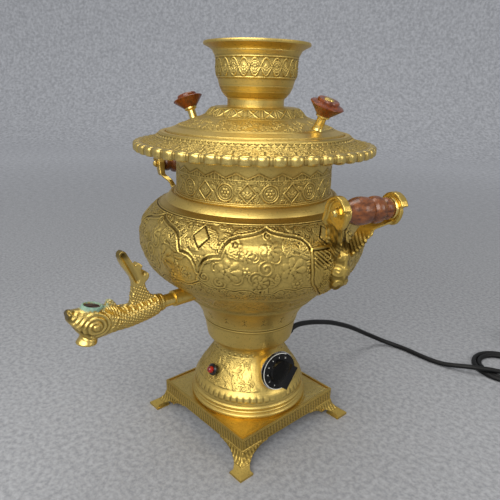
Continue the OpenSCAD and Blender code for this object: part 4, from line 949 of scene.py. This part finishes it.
def make_plate_corner(side):
    """Leaves round the bell's foot in one corner of the top plate, inside a rope along its edges."""
    edge, reach = HALF - PLATE_IN, np.arange(0, 58.01, 0.62 * QUICK)
    u, v = np.meshgrid(reach, reach)
    far = np.hypot(edge - u, edge - v)
    keep = inside(78.5, far, OPEN, 0.4) * inside(2.5, u, OPEN, 0.3) * inside(2.5, v, OPEN, 0.3)
    relief = foliage(u, v, keep, seed=101 + side, count=26, size=8.5, height=0.6)
    relief += 0.08 * keep * (1 + stipple(u.shape, 29))
    relief += 0.6 * rope(np.minimum(u, v) - 1.1, (u + v) / 2, 0.6)
    relief *= inside(BELL_FOOT, far, OPEN, 0.2)
    panel(f"stand_plate_{side + 1}", u, v, 0.8 * relief,
          lambda u, v, up: on_side(edge - u, edge - v, STAND_TOP - 0.02 + up, side),
          "brass_cast", 1.2, POLISHED)


def leg_faces():
    """The grid of a leg's side under the skirt: how far along the side, how high, and how far out."""
    stand = solid_of("square_stand")
    z, t = np.meshgrid(np.arange(9.5, 21.9, 0.6 * QUICK), np.linspace(0, 1, 66 // QUICK), indexing="ij")
    sweep = (np.clip(19.4 - z, 0, LEG_DEEP) / LEG_DEEP) ** (1 / LEG_SWEEP)
    inner = HALF - LEG_WIDE + (LEG_WIDE - LEG_NARROW) * sweep
    corner = [stand.ray_cast(Vector((150, 150, w)), Vector((-1, -1, 0)).normalized())[0].x for w in z[:, 0]]
    along = inner + (np.array(corner)[:, None] - 0.25 - inner) * t
    out = np.full(z.shape, HALF + 0.25)
    for at in np.ndindex(z.shape):
        hit = stand.ray_cast(Vector((200, along[at], z[at])), Vector((-1, 0, 0)))[0]
        out[at] = max(out[at], hit.x if hit is not None else 0)
    return along, z, out


LEG_FACES = leg_faces()


def make_leg_flutes(side, hand):
    """The skirt's flutes running on down the side of a leg."""
    along, z, out = LEG_FACES if hand > 0 else [g[:, ::-1] for g in LEG_FACES]
    relief = skirt_relief(hand * along, z - SKIRT_MID) * inside(9.5, z, OPEN, 1.2)
    panel(f"leg_flutes_{side + 1}_{hand_name(hand)}", along, z, relief,
          lambda along, z, up: on_side(out + up, hand * along, z, side), "brass_cast")


def make_leg_web(side, hand):
    """The cast bracket that spreads a leg into the skirt, along one side of it."""
    t = np.linspace(0, 1, 13)
    y = hand * (HALF - LEG_WIDE + (LEG_WIDE - LEG_NARROW) * t)
    low = 21.6 - 2.2 * (t > 0.04) - LEG_DEEP * t ** LEG_SWEEP
    verts = [on_side(x + 0 * t, y, z + 0 * t, side) for x in (HALF + 0.2, HALF - 2.4) for z in (low, 22.4)]
    n = len(t)
    faces = [[p * n + i, p * n + i + 1, q * n + i + 1, q * n + i]
             for i in range(n - 1) for p, q in ((0, 1), (1, 3), (3, 2), (2, 0))]
    faces += [[0, n, 3 * n, 2 * n], [3 * n - 1, 4 * n - 1, 2 * n - 1, n - 1]]
    build(f"leg_web_{side + 1}_{hand_name(hand)}", np.vstack(verts), [f[::-hand] for f in faces], CAST,
          "samovar", "brass_cast", smooth=False, patina=np.zeros(4 * n))


for side in SIDES:
    make_skirt(side)
    make_plate_corner(side)
for side in SIDES:
    for hand in (-1, 1):
        make_leg_web(side, hand)
        make_leg_flutes(side, hand)


# ---- chased castings ----------------------------------------------------------------------

def melted(name, grain_mm, rounds):
    """A CAD casting re-meshed evenly and rubbed round: its vertices in millimetres and its faces."""
    copy = bpy.data.objects.new(name + "_melt", NODES[name].data.copy())
    bpy.context.scene.collection.objects.link(copy)
    copy.matrix_world = NODES[name].matrix_world
    skin = copy.modifiers.new("skin", "REMESH")
    skin.mode, skin.voxel_size = "VOXEL", grain_mm * MM * 1
    rub = copy.modifiers.new("rub", "SMOOTH")
    rub.factor, rub.iterations = 0.5, rounds
    graph = bpy.context.evaluated_depsgraph_get()
    mesh = copy.evaluated_get(graph).to_mesh()
    verts = np.array([copy.matrix_world @ v.co for v in mesh.vertices]) / MM
    normals = np.array([v.normal for v in mesh.vertices])
    faces = [list(p.vertices) for p in mesh.polygons]
    copy.evaluated_get(graph).to_mesh_clear()
    bpy.data.objects.remove(copy)
    return verts, normals, faces


def chase(name, node, grain_mm, rounds, carve, material, slot, fit=None):
    """Replaces a casting by its smooth form with carve's relief standing on it, then fits it."""
    verts, normals, faces = melted(node, grain_mm, rounds)
    height, stains_and_shade = carve(verts, normals)
    verts = verts + normals * height[:, None]
    made = build(name, fit(verts) if fit else verts, faces, material, "samovar", slot, **stains_and_shade)
    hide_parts(node)
    return made


# ---- fish tap -----------------------------------------------------------------------------

# lengths from the plug's axis away from the mouth, and heights over the tap's middle
TAP_Z, PLUG_Y, PLUG_LEAN = 199.0, 213.5, math.radians(10)
EYE = (0.5, 0.5)
MOUTH = [(-28, 12), (-22, 5.5), (-17, 0), (-11, -5), (-4, -9)]
GILLS = [(0, -14), (6, -12.5), (14, -8), (20, -3), (24, 4)], [(6, -16.5), (13, -12.5), (20, -8), (26, -3)]
TAIL_LINE = [(38, 63), (43.5, 52), (49, 41), (52, 34)]
TAIL_LOBES, TAIL_DIP = ((58, 48, 3.2), (65, 36, 3.6)), (61, 41, 3.4)
SWIRL_PITCH, BROW_PITCH, SCALE_PITCH, SCALE_LONG = 4.1, 4.6, 2.1, 4.4
HEAD_BACK, COLLAR_AT, TAIL_FROM = 15, 78, 28
PLUG_LOW, PLUG_LONG, PLUG_LOW_R, PLUG_FLARE, PLUG_GAP = -10, 29, 6.4, 1.6, 0.35
SPOUT_FROM, SPOUT_SWEEP = -9, (0, -2.8, -1.2)


def off_plug(verts):
    """Distance from the plug's axis, height along it, and how far across it towards the tank."""
    y, z = verts[:, 1] + PLUG_Y, verts[:, 2] - TAP_Z
    along = z * math.cos(PLUG_LEAN) + y * math.sin(PLUG_LEAN)
    across = y * math.cos(PLUG_LEAN) - z * math.sin(PLUG_LEAN)
    return np.hypot(verts[:, 0], across), along, across


def carve_head(a, h, along, side):
    """Swirls round the eye, brows, and a mouth with lips."""
    flank = np.clip(side * 1.6 - 0.2, 0, 1)
    head = inside(-OPEN, a, HEAD_BACK, 0.8) * inside(-14, along, 17.4, 0.5) * flank
    rho, phi = np.hypot((a - EYE[0]) * 0.9, h - EYE[1]), np.arctan2(h - EYE[1], a - EYE[0])
    swirl = np.cos(TAU * (rho / SWIRL_PITCH - phi / TAU)) * inside(2.6, rho, 15.5, 0.6)
    eye = 1.5 * np.clip(1 - (rho / 3.3) ** 2, 0, 1) ** 0.5 - 0.9 * ridge(rho, 1.1)
    brow = np.cos(TAU * (0.8 * h - 0.65 * a) / BROW_PITCH)
    brow *= inside(-40, a, EYE[0] - 11, 1.5) * inside(-4, h + 0.6 * a + 9, OPEN, 1)
    mouth, lips = to_line(a, h, MOUTH), np.clip(side + 0.4, 0, 1)
    height = head * (0.62 * swirl + 0.5 * brow + eye)
    height += lips * (0.9 * ridge(mouth - 2.4, 1.1) - 1.7 * ridge(mouth, 1.1))
    for gill in GILLS:
        height += flank * 0.9 * ridge(to_line(a, h, gill), 1.2)
    dark = 0.55 * head * np.clip(-swirl, 0, 1) + 0.8 * ridge(mouth, 1.3) * lips
    # painted shade: the upper front end of the head, at the nose, is darkened as if its front face lay in
    # shadow
    return height, dark + 0.75 * inside(-OPEN, a, -19, 1) * inside(10.5, h, OPEN, 0.8)


def carve_scales(a, h, x):
    """Dashed scales that slant round the body, and a plain collar where it meets the pipe."""
    s, t = a * 0.96 + h * 0.28, h * 0.96 - a * 0.28 + 22 * np.arcsin(np.clip(x / 14, -1, 1)) / 3.2
    body = inside(HEAD_BACK + 0.5, a, 79, 1) * inside(-30, h, 27, 1.5)
    lane = np.floor(t / SCALE_PITCH) % 2
    dash = ridge(folded(t - SCALE_PITCH / 2, SCALE_PITCH), 0.62)
    dash *= np.clip(np.cos(TAU * (s + SCALE_LONG / 2 * lane) / SCALE_LONG) + 0.4, 0, 1)
    collar = inside(COLLAR_AT - 3.5, a, OPEN, 0.3)
    height = body * (1 - collar) * 0.85 * dash
    height += collar * inside(-OPEN, h, 14, 1) * 0.5 * ridge(abs(a - COLLAR_AT) - 1.6, 0.7)
    return height, 0.4 * body * np.clip(0.5 - dash, 0, 1)


def carve_tail(a, h, side):
    """A hollow down the flat of the tail's long prong, and two lobes with a dip between them."""
    flat = inside(TAIL_FROM, h, OPEN, 1) * np.clip(side * 3 - 1.7, 0, 1)
    hollow = flat * np.clip(1.8 - to_line(a, h, TAIL_LINE) / 1.9, 0, 1)
    dip = flat * ridge(np.hypot(a - TAIL_DIP[0], h - TAIL_DIP[1]), TAIL_DIP[2])
    lobes = flat * sum(ridge(np.hypot(a - x, h - y), r) for x, y, r in TAIL_LOBES)
    dark = 0.3 * hollow + 0.6 * dip + 0.6 * inside(60, h, OPEN, 1)
    return 0.9 * lobes - 1.3 * hollow - 1.2 * dip, dark


def carve_fish(verts, normals):
    """The fish's head, scales and tail, with verdigris round the plug, at the spout and on the crest."""
    a, h, side = verts[:, 1] + PLUG_Y, verts[:, 2] - TAP_Z, abs(normals[:, 0])
    radius, along, _ = off_plug(verts)
    carved = carve_head(a, h, along, side), carve_scales(a, h, verts[:, 0]), carve_tail(a, h, side)
    height, dark = (sum(part) for part in zip(*carved))
    green = np.maximum.reduce([
        np.clip(1.15 - abs(radius - 10.5) / 6.5, 0, 1) * np.clip((along - 12) / 6, 0, 1),
        0.75 * np.clip((-13 - along) / 4, 0, 1) * np.clip((a + 1) / 8, 0, 1),
        0.62 * inside(14, a, 30, 1) * inside(12, h, 40, 1)])
    return height * (along > -19.5), {"patina": np.clip(dark, 0, 0.95), "verdigris": green}


def clear_plug(verts):
    """Sweeps the spout a little forward and keeps the casting off the turning plug."""
    radius, along, _ = off_plug(verts)
    low = np.clip((SPOUT_FROM - along) / 10, 0, 1) * np.clip((16 - radius) / 4, 0, 1)
    verts = verts + low[:, None] * np.array(SPOUT_SWEEP)
    radius, along, across = off_plug(verts)
    bore = PLUG_LOW_R + PLUG_FLARE * (along - PLUG_LOW) / PLUG_LONG + PLUG_GAP
    near = (radius < bore) & (along > PLUG_LOW + 0.2) & (radius > 0.5)
    grow = np.where(near, bore / np.maximum(radius, 0.5), 1.0)
    moved = np.stack([verts[:, 0] * grow,
                      along * math.sin(PLUG_LEAN) + across * grow * math.cos(PLUG_LEAN) - PLUG_Y,
                      along * math.cos(PLUG_LEAN) - across * grow * math.sin(PLUG_LEAN) + TAP_Z], axis=1)
    return np.where(near[:, None], moved, verts)


chase("tap_fish", "tap_body", 0.55, 5, carve_fish, TAP_CAST, "brass_fish", clear_plug)


# ---- handle brackets ----------------------------------------------------------------------

HANDLE_R, HANDLE_TURN = 132.0, math.radians(-17.5)
GRIP_X, GRIP_Z, BOLT_Z = 41.0, 318.0, 251.5
FLANGE = [(54, 321), (47, 329), (39, 331.5), (31, 329), (25.5, 324), (23.5, 316), (19, 306.5), (14.5, 300),
          (10.5, 294), (8, 288), (5.5, 282), (2.5, 275), (-1.5, 268)]
FACE_LOW, FACE_TOP, ARM_FROM, ARM_TO = -32, 30, 24, 90    # heights over the bolt of face and arms
CURLS = ((6.2, 13, 6.6, 1), (6.6, -4, 7.2, -1), (4.6, -18, 5.2, 1))     # off the middle, height, radius, hand


def carve_face(v, h, u):
    """Curled leaves either side of a ridge, over a fan of fronds."""
    av, curl = abs(v), np.zeros(len(v))
    for cy, cz, radius, hand in CURLS:
        rho, phi = np.hypot(av - cy, h - cz), np.arctan2(h - cz, av - cy)
        line = np.cos(math.pi * (rho / (radius / 1.8) - hand * phi / TAU)) ** 4
        curl = np.maximum(curl, 0.6 * line * inside(-1, rho, radius, 0.4))
        curl += 1.5 * np.clip(1 - (rho / radius) ** 2, 0, 1)
    nose = 1.2 * ridge(v, 1.9) * inside(-12, h, 20, 1.5) + ridge(np.hypot(v, h + 1), 3.4)
    fan = 0.9 * np.cos(TAU * np.arctan2(av, h + 42) / 0.27) * inside(FACE_LOW, h, -15, 1.2)
    face = inside(FACE_LOW, h, FACE_TOP, 1.2) * inside(-3, u, OPEN, 1)
    return face, curl, nose, fan


def carve_bracket(verts, normals, side):
    """Reeds and combed edges down the arms, a ring round the grip's end, and the leafy face."""
    turn = side * math.pi + HANDLE_TURN
    c, s = math.cos(-turn), math.sin(-turn)
    x, y, z = verts[:, 0] - HANDLE_R * math.cos(side * math.pi), verts[:, 1], verts[:, 2]
    u, v, h = x * c - y * s, x * s + y * c, z - BOLT_Z
    nv = normals[:, 0] * s + normals[:, 1] * c
    face, curl, nose, fan = carve_face(v, h, u)
    tooth = 0.14 * np.sin(u * 3.1 + z * 1.7) * np.sin(v * 2.9 - z * 2.3)
    arm = inside(ARM_FROM, h, ARM_TO, 2)
    flange = ridge(np.maximum(to_line(u, z, FLANGE) - 1.2, 0), 1.8) * arm
    outward = np.clip(nv * np.sign(v) * 2.4 - 0.8, 0, 1) * arm * (1 - flange)
    web = outward * inside(-OPEN, h, 52, 1.5)
    reed = web * (0.5 * np.cos(TAU * (u - 0.55 * (h - 40)) / 6.5) - 0.5)
    comb = np.cos(TAU * (h + 0.9 * u) / 6.4) * inside(15, h, 34, 1.5) * (1 - outward)
    scallop = 1.1 * np.cos(TAU * (h - 0.4 * u) / 8.5) * (1 - abs(nv))
    scallop *= arm * inside(-OPEN, h, 55, 2) * inside(6, u, OPEN, 2)
    hub = np.hypot(u - GRIP_X + 2, z - GRIP_Z + 2)
    ring = 0.5 * ridge(hub - 11.2, 0.9) * inside(48, h, OPEN, 0.5) * np.clip(abs(nv) * 3 - 2, 0, 1)
    dark = face * np.clip(0.8 - 0.45 * curl - nose * 0.8, 0, 0.6) + 0.25 * np.clip(-comb, 0, 1)
    # painted shade with blotches: the arms' outer faces are darkened as if shadowed
    dark += web * np.clip(0.45 + 0.5 * np.sin(u * 0.5 + 1) * np.sin(h * 0.33), 0, 0.8)
    return (face * (curl + nose + fan + tooth) + reed + comb + scallop + ring,
            {"patina": np.clip(dark, 0, 0.9)})


MASK_LOW, MASK_TOP = -40, 24
# height over the bolt, then the two edges in degrees round the tank
MASK_EDGE = np.array([(-40, -1.8, -0.4), (-36, -5, 2), (-28, -10, 4), (-17, -14.6, 5.2), (-10, -16, 5.6),
                      (5, -17, 5.6), (20, -17.2, 4.5), (24, -16.6, 3.5)])


def make_mask(side, name):
    """The mask's broad cheeks, cast to the bulb: a rolled rim, combed locks and leaves round the bolt."""
    shell_r, shell_z = np.array(side_outline(tank, 205, 282)).T
    lean = np.gradient(shell_r, shell_z)
    h, t = np.arange(MASK_LOW, MASK_TOP + 0.01, 0.55 * QUICK)[:, None], np.linspace(-1, 1, 132 // QUICK)
    left, right = (np.interp(h, MASK_EDGE[:, 0], MASK_EDGE[:, k]) for k in (1, 2))
    degrees = (left + right) / 2 + (right - left) / 2 * t
    h = h + 0 * t
    radius = np.interp(BOLT_Z + h, shell_z, shell_r)
    arc = np.radians(degrees) * radius
    rim = np.minimum.reduce([arc - np.radians(left) * radius, np.radians(right) * radius - arc, MASK_TOP - h])
    field = np.clip((rim - 4.5) / 1.5, 0, 1)
    locks = np.cos(TAU * (0.75 * h + 0.66 * arc) / 3.4) * inside(2, h, 19, 1.2) * inside(-36, arc, -15, 1)
    hatch = np.cos(TAU * (arc + 0.22 * h) / 1.9) * inside(-36, h, 0, 1.5) * inside(-36, arc, -22, 1.5)
    ground = inside(-23, arc, OPEN, 1) * inside(-34, h, 18, 1) * field
    height = 1.9 + 1.3 * ridge(rim - 1.8, 1.3) - 0.5 * ridge(rim - 4.4, 0.9)
    height += field * (0.8 * np.clip(locks, -0.4, 1) + 0.16 * hatch)
    height += foliage(arc, h, ground, seed=131, count=26, size=8, height=1.0)
    height += field * 1.6 * ridge(np.clip(-13 - arc, 0, None), 7)

    def place(degrees, h, up):
        a = np.radians(degrees) + side * math.pi
        slope = np.interp(BOLT_Z + h, shell_z, lean)
        steep = np.hypot(1, slope)
        r = np.interp(BOLT_Z + h, shell_z, shell_r) + up / steep
        return np.stack([r * np.cos(a), r * np.sin(a), BOLT_Z + h - up * slope / steep], axis=-1)
    panel(name, degrees, h, height, place, "brass_cast", 0.5)


for side, node in enumerate(("handle_bracket_right", "handle_bracket_left")):
    chase(node + "_chased", node, 0.8, 4, partial(carve_bracket, side=side), CAST, "brass_cast")
    make_mask(side, node + "_mask")


# ---- thermostat dial ----------------------------------------------------------------------

KNOB_TILT, KNOB_FACE, KNOB_R = math.radians(82), 70.2, 23.0
KNOB_AXIS = (Matrix.Rotation(math.radians(KNOB_AZIMUTH), 4, "Z") @ Matrix.Translation((0, 0, KNOB_Z))
             @ Matrix.Rotation(KNOB_TILT, 4, "Y"))
DIAL_FROM, DIAL_TO, DIAL_NUMBERS = 150, 420, 10
NUMBER_R, NUMBER_TALL, INK_THICK = 17.2, 4.2, 0.25


def ink(name, ring):
    """A thin closed patch of print: ring holds the outline round the knob's axis at its height."""
    n = len(ring)
    verts = [KNOB_AXIS @ Vector((x, y, z - down)) for down in (0, INK_THICK) for x, y, z in ring]
    faces = [list(range(n)), list(range(2 * n - 1, n - 1, -1))]
    faces += [[(k + 1) % n, k, n + k, n + (k + 1) % n] for k in range(n)]
    return build(name, verts, faces, DIAL_INK, "thermostat_knob", "knob_black", smooth=False)


def arc(inner, outer, start_angle, end_angle):
    """A patch between two radii, each given with its height, and two angles in degrees."""
    steps = max(2, round((end_angle - start_angle) / 4))
    angles = [math.radians(start_angle + (end_angle - start_angle) * k / steps) for k in range(steps + 1)]
    ring = [(inner, a) for a in angles] + [(outer, a) for a in angles[::-1]]
    return [(r * math.cos(a), r * math.sin(a), z) for (r, z), a in ring]


def make_number(k, a):
    """The print of one number, upright towards the knob's middle, at a degrees round it."""
    data = bpy.data.curves.new(f"dial_number_{k}", "FONT")
    data.body, data.size, data.extrude = str(k), NUMBER_TALL * MM, 0.06 * MM
    data.align_x, data.align_y = "CENTER", "CENTER"
    data.materials.append(DIAL_INK)
    number = bpy.data.objects.new(f"dial_number_{k}", data)
    bpy.context.scene.collection.objects.link(number)
    a = math.radians(a)
    spot = KNOB_AXIS @ Matrix.Translation((NUMBER_R * math.cos(a), NUMBER_R * math.sin(a), KNOB_FACE + 1.12))
    number.matrix_world = (Matrix.Scale(MM, 4) @ spot @ Matrix.Scale(1 / MM, 4)
                           @ Matrix.Rotation(a - math.pi / 2, 4, "Z"))
    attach(number, "thermostat_knob")


def make_dial():
    """A white rim arc, a tick for every thirty degrees and numbers from 0 to 9."""
    z = KNOB_FACE + 0.12
    ink("dial_arc", arc((KNOB_R - 0.9, z), (KNOB_R - 0.1, z - 0.05), DIAL_FROM, DIAL_TO))
    for k in range(DIAL_NUMBERS):
        a = DIAL_FROM + (DIAL_TO - DIAL_FROM) * k / (DIAL_NUMBERS - 1)
        ink(f"dial_tick_{k}", arc((KNOB_R - 3.4, z + 0.45), (KNOB_R - 1.2, z + 0.02), a - 0.7, a + 0.7))
        make_number(k, a)


make_dial()


# ---- floor, backdrop and light, in metres -------------------------------------------------

STAGE_TURN = math.radians(42.7)
STAGE_WIDE, STAGE_FRONT, STAGE_BACK, STAGE_BEND, STAGE_TALL = 7.0, -6.0, 3.6, 0.9, 4.0
FELT_NEAR, FELT_FAR, FELT_GLOW = 0.7, 2.6, 0.48     # beyond the lamps' reach the felt keeps its grey


def felt():
    """Wool felt, matt and mottled by its fibres. They are far finer than the mottle drawn, which is
    as coarse as it needs to show, and coarser still where the wall is far off."""
    material, tree, where = start("pale_felt_ground")
    away = add(tree, "VectorMath", {0: where}, operation="LENGTH", out="Value")
    near = add(tree, "TexNoise", {"Vector": where, "Scale": grains(3.2), "Detail": 4, "Roughness": 0.7})
    far = add(tree, "TexNoise", {"Vector": where, "Scale": grains(10), "Detail": 4, "Roughness": 0.7})
    distance = add(tree, "MapRange", {0: away, 1: FELT_NEAR, 2: FELT_FAR})
    mottle = add(tree, "Mix", {0: distance, 2: near, 3: far})
    grey = add(tree, "Mix", {0: add(tree, "MapRange", {0: mottle, 1: 0.36, 2: 0.64}),
                             6: linear("#929499"), 7: linear("#B0B2B7")}, data_type="RGBA", out=2)
    path = add(tree, "LightPath").node.outputs
    seen = add(tree, "Math", {0: path["Is Camera Ray"], 1: path["Is Glossy Ray"]}, operation="MAXIMUM")
    beyond = add(tree, "MapRange", {0: away, 1: FELT_NEAR, 2: FELT_FAR, 4: FELT_GLOW})
    fill(tree.nodes["Principled BSDF"], {
        "Roughness": 0.95, "IOR": 1.3, "Base Color": grey, "Emission Color": grey,
        "Emission Strength": add(tree, "Math", {0: seen, 1: beyond}, operation="MULTIPLY")})
    return material


def make_stage():
    """A pale felt table that runs up into a far wall, behind every place it is looked at from."""
    bend = [(STAGE_BACK - STAGE_BEND * (1 - math.sin(t)), STAGE_BEND * (1 - math.cos(t)))
            for t in np.linspace(0, math.pi / 2, 13)]
    line = [(STAGE_FRONT, 0.0)] + bend + [(STAGE_BACK, STAGE_TALL)]
    turn = Matrix.Rotation(STAGE_TURN, 3, "Z")
    verts = [list(turn @ Vector((x, y, z))) for y, z in line for x in (-STAGE_WIDE, STAGE_WIDE)]
    mesh = bpy.data.meshes.new("table_and_wall")
    mesh.from_pydata(verts, [], [[k, k + 1, k + 3, k + 2] for k in range(0, len(verts) - 2, 2)])
    mesh.materials.append(felt())
    mesh.polygons.foreach_set("use_smooth", [True] * len(mesh.polygons))
    stage = bpy.data.objects.new("table_and_wall", mesh)
    bpy.context.scene.collection.objects.link(stage)


def softbox(name, at, size, watts, colour):
    """A square lamp behind a cloth, aimed at the samovar's middle."""
    data = bpy.data.lights.new(name, "AREA")
    data.shape, data.size, data.size_y, data.energy = "RECTANGLE", size[0], size[1], watts
    data.color = linear(colour)[:3]
    lamp = bpy.data.objects.new(name, data)
    aim = (Vector((0, 0, 0.25)) - Vector(at)).to_track_quat("-Z", "Y")
    lamp.matrix_world = Matrix.Translation(at) @ aim.to_matrix().to_4x4()
    bpy.context.scene.collection.objects.link(lamp)


def make_light():
    """An even pale room, which metal sees a little brighter, and four softboxes."""
    world = bpy.data.worlds.new("studio")
    world.use_nodes = True
    path = add(world.node_tree, "LightPath").node.outputs
    sheen = add(world.node_tree, "Math", {0: path["Is Glossy Ray"], 1: path["Is Transmission Ray"]},
                operation="MAXIMUM")
    fill(world.node_tree.nodes["Background"], {
        "Color": linear("#EDEEF0"),
        "Strength": add(world.node_tree, "MapRange", {0: sheen, 3: 0.39, 4: 0.45})})
    bpy.context.scene.world = world
    softbox("ceiling", (-0.2, 0.1, 1.9), (1.1, 0.9), 10, "#FFFCF5")
    softbox("key", (0.8, -1.25, 1.1), (1.4, 1.0), 20, "#FFFDF8")
    softbox("window", (-0.25, -1.5, 1.3), (0.5, 0.7), 5, "#FFFDF8")
    softbox("side", (1.5, 0.5, 0.9), (0.4, 0.8), 4, "#FFF9F0")


make_stage()
make_light()
bpy.context.scene.view_settings.view_transform = "Standard"
